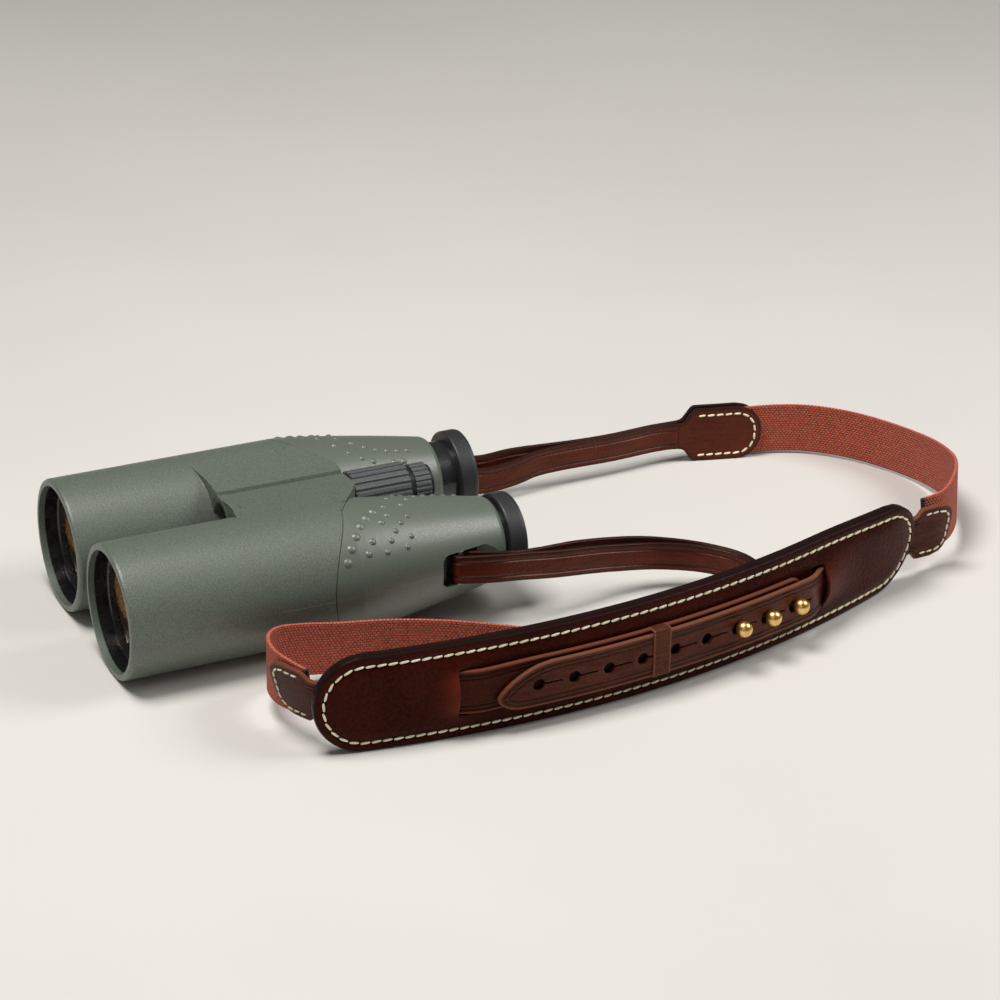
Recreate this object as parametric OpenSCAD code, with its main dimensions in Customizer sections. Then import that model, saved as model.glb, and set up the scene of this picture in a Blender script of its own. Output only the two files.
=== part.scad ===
// Roof-prism binoculars in rubber armour with a leather and webbing neck strap
// Millimetres. Optical axes run along Y, objectives at -Y, Z up, barrels resting on Z = 0

/* [Barrels] */
// Outside diameter of a barrel over its armour
barrel_d = 64; // [58:0.5:80]
// Length of a barrel from front rim to the rear end of its armour
barrel_len = 190.5; // [170:0.5:230]
// Clear gap between the two barrels at axis height
barrel_clear = 8.7; // [8:0.1:11]
// Thickness of the rubber armour
armour_t = 1.6; // [1.4:0.1:2.4]
// Wall of the metal housing tube
tube_wall = 1.2; // [1:0.1:1.6]
// Length of the taper towards the eyepiece
taper_len = 76; // [68:0.5:90]
// Loss of radius over the taper
taper_drop = 11.8; // [9:0.1:12.4]

/* [Objectives] */
// Depth of the open hood in front of the lens
hood_depth = 11; // [8:0.5:14]
// Thickness of the front lens at its centre
front_lens_t = 8.5; // [7.5:0.1:11]

/* [Hinge] */
// Height of the hinge axis above the optical axes
hinge_rise = 16.5; // [14:0.25:19]
// Radius of a hinge knuckle
knuckle_r = 8.4; // [7.5:0.1:8.6]
// Diameter of the hinge axle
axle_d = 11; // [10:0.1:12]
// Outside radius of the bridge over the hinge
bridge_r = 11.5; // [11:0.1:13]

/* [Focus] */
// Diameter of the focus wheel
wheel_d = 24; // [20:0.5:26]
// Length of the focus wheel
wheel_len = 29; // [24:0.5:36]
// Diameter of the dioptre ring
dioptre_d = 20; // [17:0.5:26]
// Number of ribs round the focus wheel
wheel_ribs = 22; // [16:1:28]

/* [Eyecups] */
// Diameter of the eyecup rubber
eyecup_d = 41.6; // [40:0.2:52]
// Width of the rubber lip outside the eyecup's sleeve
cup_lip = 3.8; // [3:0.1:5]
// Length of the eyecup rubber
eyecup_len = 9.4; // [8:0.2:14]
// Distance the right eyecup is twisted out as shown
right_cup_out = 7.6; // [0:0.2:10]

/* [Strap] */
// Width of the neck pad
pad_w = 47; // [40:0.5:60]
// Bend radius of the neck pad as it stands
pad_bend = 497; // [420:1:620]
// Width of the two pad straps
pad_strap_w = 21; // [16:0.5:26]
// Thickness of the strap leather
leather_t = 2.2; // [1.8:0.1:2.4]
// Width of the straps at the barrels
lug_strap_w = 14; // [11:0.5:17]
// Width of the webbing
webbing_w = 26; // [22:0.5:30]
// Width of the sewn tabs
tab_w = 29; // [26:0.5:34]
// Diameter of a stud head
stud_d = 7.8; // [6:0.1:9.4]
// Spacing of the studs and keyholes
stud_pitch = 17.7; // [15:0.1:19]

/* [Hidden] */
$fn = 64;

barrel_r = barrel_d / 2;
axis_x = (barrel_d + barrel_clear) / 2;
axis_z = barrel_r;
hinge_z = axis_z + hinge_rise;
hinge_span = norm([axis_x, hinge_rise]);
hinge_dip = atan2(hinge_rise, axis_x);
glue = 0.1;
run = 0.05;
cup_show = 10.9;
front_y = -(barrel_len + cup_show + right_cup_out) / 2;
body_end = front_y + barrel_len;
taper_y = body_end - taper_len - 2;
tube_r = barrel_r - armour_t - glue;
bore_r = tube_r - tube_wall;
eye_end = body_end + cup_show;
// Hinge, wheel and strap bar keep their places from the rear end of the barrels
mid_y = body_end - 86;

// Armour radius at a place along the barrel
function skin_r(y) = barrel_r - (barrel_r - rear_r) * pow(max(0, y - taper_y) / taper_len, 1.25);
skin_end = body_end - 2.4;
skin_ys = [for (i = [0 : 15]) taper_y + (skin_end - taper_y) * i / 15];

// Stations along the barrel
lip_y = front_y + 3;
lens_y = front_y + hood_depth;
cell_end = lens_y + 17;
prism_y = taper_y + 7.2;
holder_y0 = prism_y - 3.2;
holder_y1 = prism_y + 28.2;
bulk_y0 = holder_y1 + 3;
bulk_y1 = bulk_y0 + 24;
cup_bore = eyecup_d / 2 - cup_lip;
rear_r = max(barrel_r - taper_drop, cup_bore + armour_t + 0.6);
sleeve_r = cup_bore - 0.4;
sleeve_in = sleeve_r - 1.4;
guide_r = sleeve_in - 0.1;
eye_tube_r = guide_r - 1.1;
eye_in_r = eye_tube_r - 2.2;

// Objective sizes
cell_r = bore_r - 0.1;
cell_in = cell_r - 0.9;
hood_r = cell_in + 0.35;
lens_r = cell_in - 0.08;

// Hinge stations
knuckle_y = [for (y = [-23, -14.8, 9, 17]) mid_y + y];
knuckle_len = 7.8;
axle_r = axle_d / 2;
axle_y0 = mid_y - 23.2;
axle_y1 = mid_y + 40;
fork_y = mid_y + 1;
wheel_y0 = mid_y + 28;
wheel_y1 = wheel_y0 + wheel_len;
wheel_r = wheel_d / 2;
shaft_r = 3;
wing_in = knuckle_r + 0.5;

// Revolve round the Y axis, profile as [radius, y]
module spin_y() {
  rotate([-90, 0, 0]) rotate_extrude($fn = 96) children();
}

// Put on a barrel axis, side 1 is left and -1 is right
module barrel(side) {
  mirror([side < 0 ? 1 : 0, 0, 0]) translate([axis_x, 0, axis_z]) children();
}

// Extrude an outline drawn in X and Z between two stations along Y
module along_y(y0, y1) {
  translate([0, y1, 0]) rotate([90, 0, 0]) linear_extrude(y1 - y0) children();
}

module rod_y(r, y0, y1) {
  translate([0, y0, 0]) rotate([-90, 0, 0]) cylinder(r = r, h = y1 - y0);
}

module ring_y(r0, r1, y0, y1) {
  difference() {
    rod_y(r1, y0, y1);
    rod_y(r0, y0 - 1, y1 + 1);
  }
}

// Room for the focus wheel between the barrels
module wheel_room(grow) {
  translate([0, 0, hinge_z]) rod_y(wheel_r + 0.7 + grow, wheel_y0 - 0.8, wheel_y1 + 1.4);
}

// Whole armour skin of a barrel before it is split in two
module skin() {
  outer = concat([[hood_r + 0.3, front_y], [barrel_r - 1.4, front_y], [barrel_r - 0.4, front_y + 0.4],
                  [barrel_r, front_y + 1.4]],
                 [for (y = skin_ys) [skin_r(y), y]],
                 [[skin_r(skin_end) - 0.9, body_end - 0.8], [skin_r(skin_end) - 2, body_end],
                  [cup_bore + 0.1, body_end], [cup_bore + 0.1, skin_end]]);
  inner = concat([for (i = [15 : -1 : 0]) [skin_r(skin_ys[i]) - armour_t, skin_ys[i]]],
                 [[barrel_r - armour_t, lip_y], [hood_r + 0.3, lip_y]]);
  spin_y() polygon(concat(outer, inner));
}

// Part of the skin that belongs to the rear armour, its front edge is round as seen from the side
module rear_zone(grow) {
  translate([0, mid_y, 0]) difference() {
    union() {
      translate([-60, 35, 1]) rotate([0, 90, 0]) cylinder(r = 41 + grow, h = 120, $fn = 96);
      translate([-60, 35, -60]) cube([120, 120, 120]);
    }
    translate([0, -grow, -60]) linear_extrude(120)
      polygon([[-90, -60], [5, -60], [5, 8], [0, 11.5], [-6, 15.5], [-14, 21], [-24, 27], [-90, 27]]);
  }
}

// Bridge wing in X and Z round the hinge axis, open between two angles
module wing_outline(top_angle) {
  phi = acos((bridge_r - barrel_r) / hinge_span) - hinge_dip;
  difference() {
    intersection() {
      union() {
        circle(r = bridge_r);
        polygon([[0, -bridge_r], [axis_x, -bridge_r],
                 [axis_x + (barrel_r - 0.02) * cos(phi), -hinge_rise + (barrel_r - 0.02) * sin(phi)],
                 [bridge_r * cos(phi), bridge_r * sin(phi)]]);
      }
      polygon(concat([[0, 0]], [for (i = [0 : 8]) let (a = -60 + (top_angle + 60) * i / 8)
                                80 * [cos(a), sin(a)]]));
    }
    circle(r = wing_in);
    translate([axis_x, -hinge_rise]) circle(r = barrel_r - armour_t, $fn = 96);
  }
}

// Front edge of a wing in X and Y, the right wing comes up beside the hinge collar
left_front = [[16, -32], [19, -32.8], [23, -34.4], [28, -37], [33, -39]];
right_front = [[11.9, -32], [11.9, -36.3], [16, -36.6], [20, -37.2], [25, -38.2], [30, -39.2]];
module wing(side, top_angle) {
  translate([0, mid_y, 0]) intersection() {
    translate([0, 0, hinge_z]) along_y(-48, 48) wing_outline(top_angle);
    translate([0, 0, hinge_z - 30]) linear_extrude(60)
      polygon(concat([[-20, -32]], side > 0 ? left_front : right_front, [[40, -40], [41, 8], [36.35, 11.2],
                     [30.35, 15.2], [22.35, 20.7], [12.35, 26.7], [-20, 26.7]]));
  }
}

module housing(side) {
  outer = concat([[tube_r, lip_y + glue], [tube_r, taper_y]],
                 [for (i = [1 : 15]) [skin_r(skin_ys[i]) - armour_t - glue, skin_ys[i] - glue]]);
  inner = concat([[cup_bore, skin_end - glue], [cup_bore, bulk_y1], [eye_tube_r + run, bulk_y1],
                  [eye_tube_r + run, bulk_y0]],
                 [for (i = [8 : -1 : 0]) let (y = taper_y + (bulk_y0 - taper_y) * i / 8)
                  [skin_r(y) - armour_t - glue - tube_wall, y]],
                 [[bore_r, lip_y + glue]]);
  first = side > 0 ? 1 : 0;
  difference() {
    union() {
      barrel(side) spin_y() polygon(concat(outer, inner));
      intersection() {
        barrel(side) spin_y() polygon(concat(outer, [[bore_r - 8, skin_end - glue], [bore_r - 8, lip_y + glue]]));
        wheel_room(1.4);
      }
      mirror([side < 0 ? 1 : 0, 0, 0]) translate([0, 0, hinge_z])
        for (k = [first, first + 2]) along_y(knuckle_y[k], knuckle_y[k] + knuckle_len) union() {
          circle(r = knuckle_r);
          rotate(-hinge_dip) translate([0, -6])
            square([hinge_span - skin_r(knuckle_y[k] + knuckle_len) + armour_t + glue + 0.75, 12]);
        }
    }
    translate([0, 0, hinge_z]) rod_y(axle_r + run, mid_y - 40, mid_y + 40);
    mirror([side < 0 ? 1 : 0, 0, 0]) translate([0, 0, hinge_z]) rotate([0, hinge_dip, 0])
      translate([hinge_span - tube_r - 4, fork_y - 6, -2.6]) cube([12, 12, 5.2]);
    barrel(side) recess();
    wheel_room(0);
  }
}

// Pocket for the strap in the outer side of a barrel, deeper round the strap bar
bar_x = barrel_r - 9.5;
bar_y = mid_y + 60;
bar_r = 1.6;
pocket_h = lug_strap_w / 2 + 1.4;
module recess() {
  translate([bar_x - 2, 0, 0]) rotate([0, 90, 0]) linear_extrude(40) union() {
    translate([-pocket_h, bar_y - 6]) square([2 * pocket_h, 60]);
    translate([-pocket_h + 4, bar_y - 10]) square([2 * pocket_h - 8, 10]);
    translate([-pocket_h + 4, bar_y - 6]) circle(r = 4);
    translate([pocket_h - 4, bar_y - 6]) circle(r = 4);
  }
  translate([bar_x - 4.6, bar_y - 6, -pocket_h]) cube([20, 15.6, 2 * pocket_h]);
}

module front_armour(side, top_angle) {
  difference() {
    union() {
      barrel(side) difference() {
        skin();
        rear_zone(0.2);
      }
      mirror([side < 0 ? 1 : 0, 0, 0]) wing(side, top_angle);
    }
    mirror([side < 0 ? 1 : 0, 0, 0]) translate([0, 0, hinge_z]) rotate([0, hinge_dip, 0])
      translate([-4, mid_y - 24.6, -6.1]) cube([hinge_span - tube_r + 8, 53.6, 12.2]);
    wheel_room(0);
    if (side > 0) translate([0, 0, hinge_z]) rod_y(bridge_r + 0.5, mid_y - 60, mid_y - 32);
  }
}

// Round grip bump of radius c, angle a from the outward side of the barrel
bump_h = 0.7;
// Columns of bumps, each with its first place and angle, its turn, its count and its bump radius
bump_columns = [[1.6, 30.1, 11.3, 6, 2.1], [12.6, 34.4, 10.4, 5, 1.7], [22.1, 33.2, 9.9, 5, 1.45], [32.8, 34.7, 9.9, 2, 1.35]];
module bump(y, a, c) {
  r = (c * c + bump_h * bump_h) / (2 * bump_h);
  o = skin_r(y) - r + bump_h;
  translate([o * cos(a), y, o * sin(a)]) intersection() {
    rotate([90, 90, 0]) sphere(r = r, $fn = 24);
    rotate([0, -a, 0]) translate([r - bump_h - 0.35, -r, -r]) cube([2 * r, 2 * r, 2 * r]);
  }
}

module rear_armour(side) {
  barrel(side) difference() {
    union() {
      intersection() {
        skin();
        rear_zone(-0.2);
      }
      for (c = bump_columns)
        for (j = [0 : c[3] - 1])
          bump(mid_y + c[0] + 3.1 * j + 0.2 * j * j, c[1] + c[2] * j - 0.4 * j * j, c[4]);
      for (k = [0 : 7])
        for (j = [0 : (k > 0 ? 1 : 0)])
          bump(mid_y + 28.6 + 5.4 * k + 4 * j, 129 - 47 * pow(1 - k / 7, 3) - 16 * j, 1.5);
    }
    recess();
    translate([-axis_x, 0, -axis_z]) wheel_room(0);
  }
}

module objective_cell(side) {
  barrel(side) spin_y() polygon([[hood_r, lip_y + 0.1], [cell_r, lip_y + 0.1], [cell_r, cell_end],
                                 [cell_in - 3.2, cell_end], [cell_in - 3.2, cell_end - 1.6],
                                 [cell_in, cell_end - 1.6], [cell_in, lens_y - 2.3],
                                 [hood_r, lens_y - 2.3]]);
}

module retaining_ring(side) {
  barrel(side) spin_y() polygon([[cell_in - 0.05, lens_y - 2.2], [cell_in - 0.05, lens_y + 0.9],
                                 [cell_in - 1.6, lens_y + 0.9], [cell_in - 1.6, lens_y - 1.7],
                                 [cell_in - 0.9, lens_y - 2.2]]);
}

// Round lens between two spherical faces, thickness at the centre, sag of each face at the rim
module lens(r, y, t, sag0, sag1) {
  b0 = (r * r + sag0 * sag0) / (2 * sag0);
  b1 = (r * r + sag1 * sag1) / (2 * sag1);
  intersection() {
    rod_y(r, y - 1, y + t + 1);
    translate([0, y + b0, 0]) sphere(r = b0, $fn = 300);
    translate([0, y + t - b1, 0]) sphere(r = b1, $fn = 300);
  }
}

module objective_lens(side) {
  barrel(side) {
    lens(lens_r, lens_y - 1.9, front_lens_t, 3.4, 3.2);
    difference() {
      rod_y(lens_r, lens_y + front_lens_t - 4.9, cell_end - 1.65);
      translate([0, lens_y + front_lens_t - 1.6 - (lens_r * lens_r + 10.24) / 6.4, 0])
        sphere(r = (lens_r * lens_r + 10.24) / 6.4, $fn = 300);
    }
  }
}

// Light carriage: a skirt that slides in the tube, a web and a seat for the lens
carriage_r = bore_r - 0.3;
carriage_in = bore_r - 11;
module focus_carriage(side) {
  y0 = side > 0 ? fork_y - 2.7 : fork_y + 0.3;
  union() {
    barrel(side) translate([0, fork_y, 0]) spin_y()
      polygon([[carriage_in, -4], [carriage_in + 1, -4], [carriage_in + 1, -0.9], [carriage_r - 1, -0.9],
               [carriage_r - 1, -5], [carriage_r, -5], [carriage_r, 5], [carriage_r - 1, 5], [carriage_r - 1, 0.9],
               [carriage_in + 1, 0.9], [carriage_in + 1, 5], [carriage_in, 5]]);
    mirror([side < 0 ? 1 : 0, 0, 0]) translate([0, 0, hinge_z]) difference() {
      union() {
        rod_y(3.3, y0, y0 + 2.4);
        rotate([0, hinge_dip, 0]) translate([0, y0, -1.8]) cube([hinge_span - bore_r + 2, 2.4, 3.6]);
      }
      rod_y(2.3, y0 - 1, y0 + 4);
    }
  }
}

module focus_lens(side) {
  b = (carriage_in * carriage_in + 4) / 4;
  barrel(side) difference() {
    rod_y(carriage_in - 0.05, fork_y - 3, fork_y + 4);
    translate([0, fork_y - 1 - b, 0]) sphere(r = b, $fn = 300);
    translate([0, fork_y + 2 + b, 0]) sphere(r = b, $fn = 300);
  }
}

prism_w = 20.8;
// Room for a plate inside the tube, less where the wheel's hollow reaches in
function plate_r(y) = min(skin_r(y) - armour_t - glue - tube_wall - 0.35,
                          y > wheel_y0 - 3 && y < wheel_y1 + 4 ? hinge_span - wheel_r - 2.4 : barrel_r);
module prism_holder(side) {
  r0 = plate_r(holder_y0 + 2.4);
  r1 = plate_r(holder_y1 + 2.2);
  barrel(side) union() {
    ring_y(11, r0, holder_y0, holder_y0 + 2.5);
    ring_y(9, r1, holder_y1 - 0.1, holder_y1 + 2.2);
    for (m = [0, 1]) mirror([m, 0, 0])
      translate([prism_w / 2 + 0.1, holder_y0 + 2, -17]) cube([2.2, holder_y1 - holder_y0 - 1.5, 34]);
  }
}

module prisms(side) {
  barrel(side) for (p = [[[0, -10], [0, 10], [19.3, 18], [27.8, 18], [27.8, 17.8]],
                         [[25.1, -21.8], [25.1, 14.4], [0.7, -10], [0.7, -11.7]]])
    translate([-prism_w / 2, prism_y, 0]) rotate([90, 0, 90]) linear_extrude(prism_w) polygon(p);
}

module eyepiece_tube(side) {
  barrel(side) spin_y() polygon([[eye_in_r, bulk_y0 + 2], [eye_tube_r, bulk_y0 + 2],
                                 [eye_tube_r, body_end + 6], [eye_in_r - 1.4, body_end + 6],
                                 [eye_in_r - 1.4, body_end - 6], [eye_in_r, body_end - 6]]);
}

module eyepiece_lenses(side) {
  barrel(side) {
    lens(eye_in_r - 0.05, bulk_y0 + 5, 6, 1.8, 1.2);
    lens(eye_in_r - 0.05, bulk_y0 + 20, 9, 2.4, 2.8);
    lens(eye_in_r - 1.45, body_end - 3, 5.5, 1, 2);
  }
}

// Twist ring that turns on the eyepiece tube, its key drives the sleeve
module eyecup_guide(side) {
  barrel(side) union() {
    ring_y(eye_tube_r + run, guide_r, body_end - 0.5, body_end + 2.5);
    translate([-0.8, body_end - 0.5, guide_r - 0.4]) cube([1.6, 3, 1]);
  }
}

module eyecup(side) {
  barrel(side) translate([0, side > 0 ? 0 : right_cup_out, 0]) children();
}

module eyecup_sleeve(side) {
  eyecup(side) difference() {
    spin_y() polygon([[sleeve_in, body_end - 12], [sleeve_r, body_end - 12], [sleeve_r, eye_end - 1.5],
                      [sleeve_in - 2.6, eye_end - 1.5], [sleeve_in - 2.6, eye_end - 3],
                      [sleeve_in, eye_end - 3]]);
    translate([-1, body_end - 14, sleeve_in - 1]) cube([2, cup_show + 11, 1.8]);
  }
}

module eyecup_rubber(side) {
  r = eyecup_d / 2;
  eyecup(side) spin_y() polygon([[sleeve_r + glue, eye_end - eyecup_len], [r - 0.8, eye_end - eyecup_len],
                                 [r - 0.2, eye_end - eyecup_len + 0.3], [r, eye_end - eyecup_len + 1],
                                 [r, eye_end - 2.2], [r - 0.4, eye_end - 0.9], [r - 1.3, eye_end - 0.2],
                                 [r - 2.4, eye_end], [sleeve_in - 1.8, eye_end], [sleeve_in - 2.5, eye_end - 0.5],
                                 [sleeve_in - 2.5, eye_end - 1.5 + glue], [sleeve_r + glue, eye_end - 1.5 + glue]]);
}

module strap_bar(side) {
  barrel(side) translate([bar_x, bar_y, -pocket_h]) cylinder(r = bar_r, h = 2 * pocket_h, $fn = 32);
}

module hinge_axle() {
  color("silver") translate([0, 0, hinge_z]) difference() {
    rod_y(axle_r, axle_y0, axle_y1);
    rod_y(shaft_r + 0.6, axle_y0 - 1, axle_y1 + 1);
    translate([-8, fork_y - 6.2, -8]) cube([16, 12.4, 9.2]);
  }
}

thread_r = 2.6;
module tripod_bush() {
  color("goldenrod") translate([0, 0, hinge_z]) difference() {
    union() {
      rod_y(knuckle_r - 0.8, axle_y0 - 2.2, axle_y0 - 0.1);
      rod_y(shaft_r + 0.55, axle_y0 - 1, axle_y0 + 8);
    }
    rod_y(thread_r, axle_y0 - 4, axle_y0 + 7);
  }
}

module focus_shaft() {
  color("silver") translate([0, 0, hinge_z]) difference() {
    union() {
      rod_y(shaft_r + 0.5, fork_y - 5.4, fork_y + 5.4);
      rod_y(shaft_r, fork_y - 5, wheel_y1 - 4);
    }
    ring_y(2.2, 6, fork_y - 3.1, fork_y + 3.1);
  }
}

module focus_wheel() {
  color("dimgray") translate([0, 0, hinge_z]) spin_y()
    polygon([[axle_r + run, wheel_y0 + 0.4], [wheel_r - 2.2, wheel_y0 + 0.4], [wheel_r - 2.2, wheel_y1 - 0.3],
             [wheel_r - 2.6, wheel_y1], [wheel_r - 2.6, wheel_y1 + 2.6], [6, wheel_y1 + 2.6], [6, wheel_y1 + 11],
             [shaft_r + run, wheel_y1 + 11], [shaft_r + run, axle_y1 + 0.4], [axle_r + run, axle_y1 + 0.4]]);
}

module focus_grip() {
  color("black") translate([0, 0, hinge_z]) along_y(wheel_y0 + 0.5, wheel_y1 - 0.4) difference() {
    circle(r = wheel_r);
    circle(r = wheel_r - 2.15);
    for (i = [0 : wheel_ribs - 1]) rotate(i * 360 / wheel_ribs) translate([wheel_r + 0.15, 0])
      circle(r = 1, $fn = 20);
  }
}

dioptre_r = dioptre_d / 2;
module dioptre_ring() {
  color("black") translate([0, 0, hinge_z]) along_y(wheel_y1 + 2.9, wheel_y1 + 10.7) difference() {
    circle(r = dioptre_r);
    circle(r = 6 + run);
    for (i = [0 : 23]) rotate(i * 15) translate([dioptre_r + 0.2, 0]) circle(r = 0.8, $fn = 20);
  }
}

module dioptre_cap() {
  color("dimgray") translate([0, 0, hinge_z]) union() {
    rod_y(dioptre_r - 1.4, wheel_y1 + 11, wheel_y1 + 12.4);
    rod_y(shaft_r - 0.1, wheel_y1 + 4, wheel_y1 + 11.2);
  }
}

// Strap stands on edge. Smooth route through hand-set points
function bend(p0, p1, p2, p3, t) = 0.5 * (2 * p1 + (p2 - p0) * t + (2 * p0 - 5 * p1 + 4 * p2 - p3) * t * t
                                   + (3 * p1 - p0 - 3 * p2 + p3) * t * t * t);
function route(p, n) = let (m = len(p) - 1) concat(
  [for (i = [0 : m - 1]) for (j = [0 : n - 1])
   bend(p[max(i - 1, 0)], p[i], p[i + 1], p[min(i + 2, m)], j / n)], [p[m]]);
function heading(p, i) = let (d = p[min(i + 1, len(p) - 1)] - p[max(i - 1, 0)]) [d[0], d[1]] / norm([d[0], d[1]]);
function aside(p, i, o) = let (d = heading(p, i)) [p[i][0] + d[1] * o, p[i][1] - d[0] * o, p[i][2], p[i][3]];
function step(a, b, x) = let (t = min(1, max(0, (x - a) / (b - a)))) t * t * (3 - 2 * t);

// Band of one thickness, each station holds x, y, middle height and width
module band(p, t) {
  n = len(p);
  corners = [for (i = [0 : n - 1]) let (a = aside(p, i, t / 2), b = aside(p, i, -t / 2), h = p[i][3] / 2)
             each [[a[0], a[1], a[2] - h], [b[0], b[1], b[2] - h], [b[0], b[1], b[2] + h], [a[0], a[1], a[2] + h]]];
  walls = [for (i = [0 : n - 2]) for (k = [0 : 3]) let (a = 4 * i + k, d = 4 * i + (k + 1) % 4)
           each [[a, a + 4, d + 4], [a, d + 4, d]]];
  ends = [[0, 1, 2], [0, 2, 3], [4 * n - 2, 4 * n - 3, 4 * n - 4], [4 * n - 1, 4 * n - 2, 4 * n - 4]];
  polyhedron(points = corners, faces = concat(walls, ends));
}

// Place on the bend of the pad: s along the pad from the bend's middle, r outward from the panel face
pad_x = -343 + 497 - pad_bend;
pad_y = 52;
pad_z = pad_w / 2;
pad_s0 = -101;
pad_s1 = 241;
function deg(s) = s / pad_bend * 180 / PI;
function on_pad(s, r, w) = [pad_x + (pad_bend + r) * cos(deg(s)), pad_y + (pad_bend + r) * sin(deg(s)), pad_z, w];
module pad_place(s, r) {
  translate([pad_x, pad_y, pad_z]) rotate(deg(s)) translate([pad_bend + r, 0, 0]) children();
}

slit_l = -36;
slit_r = 165;
strap_t = leather_t;
panel_t = 1.8;
low_mid = 1.8 + strap_t / 2;
high_mid = low_mid + strap_t + 0.3;
deep_mid = -panel_t - 0.3 - strap_t / 2;
sleeve_r0 = deep_mid - strap_t / 2 - 0.2;
slit_w = pad_strap_w + 1.2;
stud_0 = 107;
stud_s = [for (i = [0 : 2]) stud_0 + i * stud_pitch];
low_end = stud_s[2] + 5;
tip_s = -19;

// Stations along the pad, closer round its ends and at the slits
pad_turn = [10, 26, 42, 58, 74, 90];
pad_ss = concat([for (a = pad_turn) pad_s0 + pad_w / 2 * (1 - cos(a))],
                [for (i = [1 : 4]) pad_s0 + pad_w / 2 + (slit_l - pad_s0 - pad_w / 2) * i / 4],
                [for (i = [0 : 20]) slit_l + 0.6 + (slit_r - slit_l - 1.2) * i / 20],
                [for (i = [0 : 3]) slit_r + (pad_s1 - pad_w / 2 - slit_r) * i / 4],
                [for (k = [5 : -1 : 0]) pad_s1 - pad_w / 2 * (1 - cos(pad_turn[k]))]);
function pad_half(s) = let (e = min(s - pad_s0, pad_s1 - s)) e > pad_w / 2 ? pad_w / 2 : sqrt(e * (pad_w - e));

// Rise of the panel over each end, v runs from -1 to 1 across the pad
dome_h = 3;
function rise(s, v) = dome_h * pow(1 - v * v, 0.8) *
  (s <= slit_l ? step(pad_s0, pad_s0 + 24, s) : s >= slit_r ? step(-pad_s1, 24 - pad_s1, -s) : 0);

// Sheet of the pad's outline between two radii, its front raised at the ends by a share of the dome
module pad_sheet(r0, r1, raised) {
  m = 10;
  n = len(pad_ss);
  grid = [for (o = [0, 1]) for (s = pad_ss) for (j = [0 : m]) let (v = 2 * j / m - 1)
          on_pad(s, o > 0 ? r0 : r1 + raised * rise(s, v), 0) - [0, 0, -pad_half(s) * v, 0]];
  k = n * (m + 1);
  faces = concat(
    [for (i = [0 : n - 2]) for (j = [0 : m - 1]) let (a = i * (m + 1) + j, d = a + m + 1)
     each [[a, a + 1, d + 1], [a, d + 1, d], [a + k, d + 1 + k, a + 1 + k], [a + k, d + k, d + 1 + k]]],
    [for (i = [0 : n - 2]) let (a = i * (m + 1), d = a + m + 1, b = a + m, c = d + m)
     each [[a, d, d + k], [a, d + k, a + k], [c, b, b + k], [c, b + k, c + k]]],
    [for (j = [0 : m - 1]) let (d = k - m - 1 + j)
     each [[j + 1, j, j + k], [j + 1, j + k, j + 1 + k], [d, d + 1, d + 1 + k], [d, d + 1 + k, d + k]]]);
  polyhedron(points = [for (q = grid) [q[0], q[1], q[2]]], faces = faces);
}

// Back of the pad with a tunnel for the strap behind each end of the panel
module pad_backing() {
  deep = sleeve_r0 - 1.2;
  color("saddlebrown") difference() {
    pad_sheet(deep, -panel_t - 0.1, 0);
    for (e = [[pad_s0 - 4, slit_l + 19], [slit_r - 22, pad_s1 + 4]])
      band([for (i = [0 : 8]) on_pad(e[0] + (e[1] - e[0]) * i / 8, sleeve_r0 + 2, slit_w)], 4);
    band([for (i = [0 : 4]) on_pad(pad_s0 - 4 + 8 * i, sleeve_r0 - 2, slit_w)], 8);
  }
}

// Front of the pad, the strap comes through a slit beside each raised end
module pad_panel() {
  color("saddlebrown") difference() {
    pad_sheet(-panel_t, 0, 1);
    pad_place(slit_l + 7.5, 0) cube([14, 19, slit_w], center = true);
    pad_place(slit_r - 9, 0) cube([14, 22, slit_w], center = true);
  }
}

// Routes of the two connectors beyond the pad's ends, and of the webbing and the lug straps
left_link = [[110.5, -53.5], [120, -50.3], [130, -45.6], [136.5, -41.6]];
right_link = [[94.2, 291], [93.5, 297.5], [91.5, 303.5]];
left_web = [[125.5, 136], [125.5, 120], [125.5, 104], [124, 88], [119, 70], [111, 58], [97, 37], [86, 14], [80.5, -11],
            [79.5, -27], [82.5, -39.5], [90, -47.5], [99.5, -51.2], [109.4, -51.2], [118.9, -48], [128.8, -43.3]];
right_web = [[-59.5, 258], [-55.5, 274], [-51.5, 290], [-44, 305.5], [-29, 321], [-9, 333], [16, 340], [39, 338],
             [58, 331], [74, 320.5], [84.2, 310.8], [89.2, 303], [91.7, 291.5]];
left_run = [[64.5, 78, 31.3], [63, 100, 28], [60, 122, 25], [57.5, 142, 21.5], [58.5, 162, 18.5], [66, 182, 16],
            [79, 195, 15], [92, 199, 14.5], [104, 196, 14.5], [114, 188, 14.5], [121, 176, 14.5],
            [125, 163, 14.5], [125.5, 150, 14.5], [125.5, 136, 14.5], [125.5, 120, 14.5]];
right_run = [[-64.5, 78, 30], [-63.5, 96, 23.5], [-61.5, 112, 17.5], [-60.3, 126, 14.8], [-60.8, 144, 15.6],
             [-61.7, 160, 16.2], [-62.5, 198, 15], [-64.5, 226, 14.7], [-63, 244, 14.5], [-59.5, 258, 14.5],
             [-55.5, 274, 14.5]];

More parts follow.
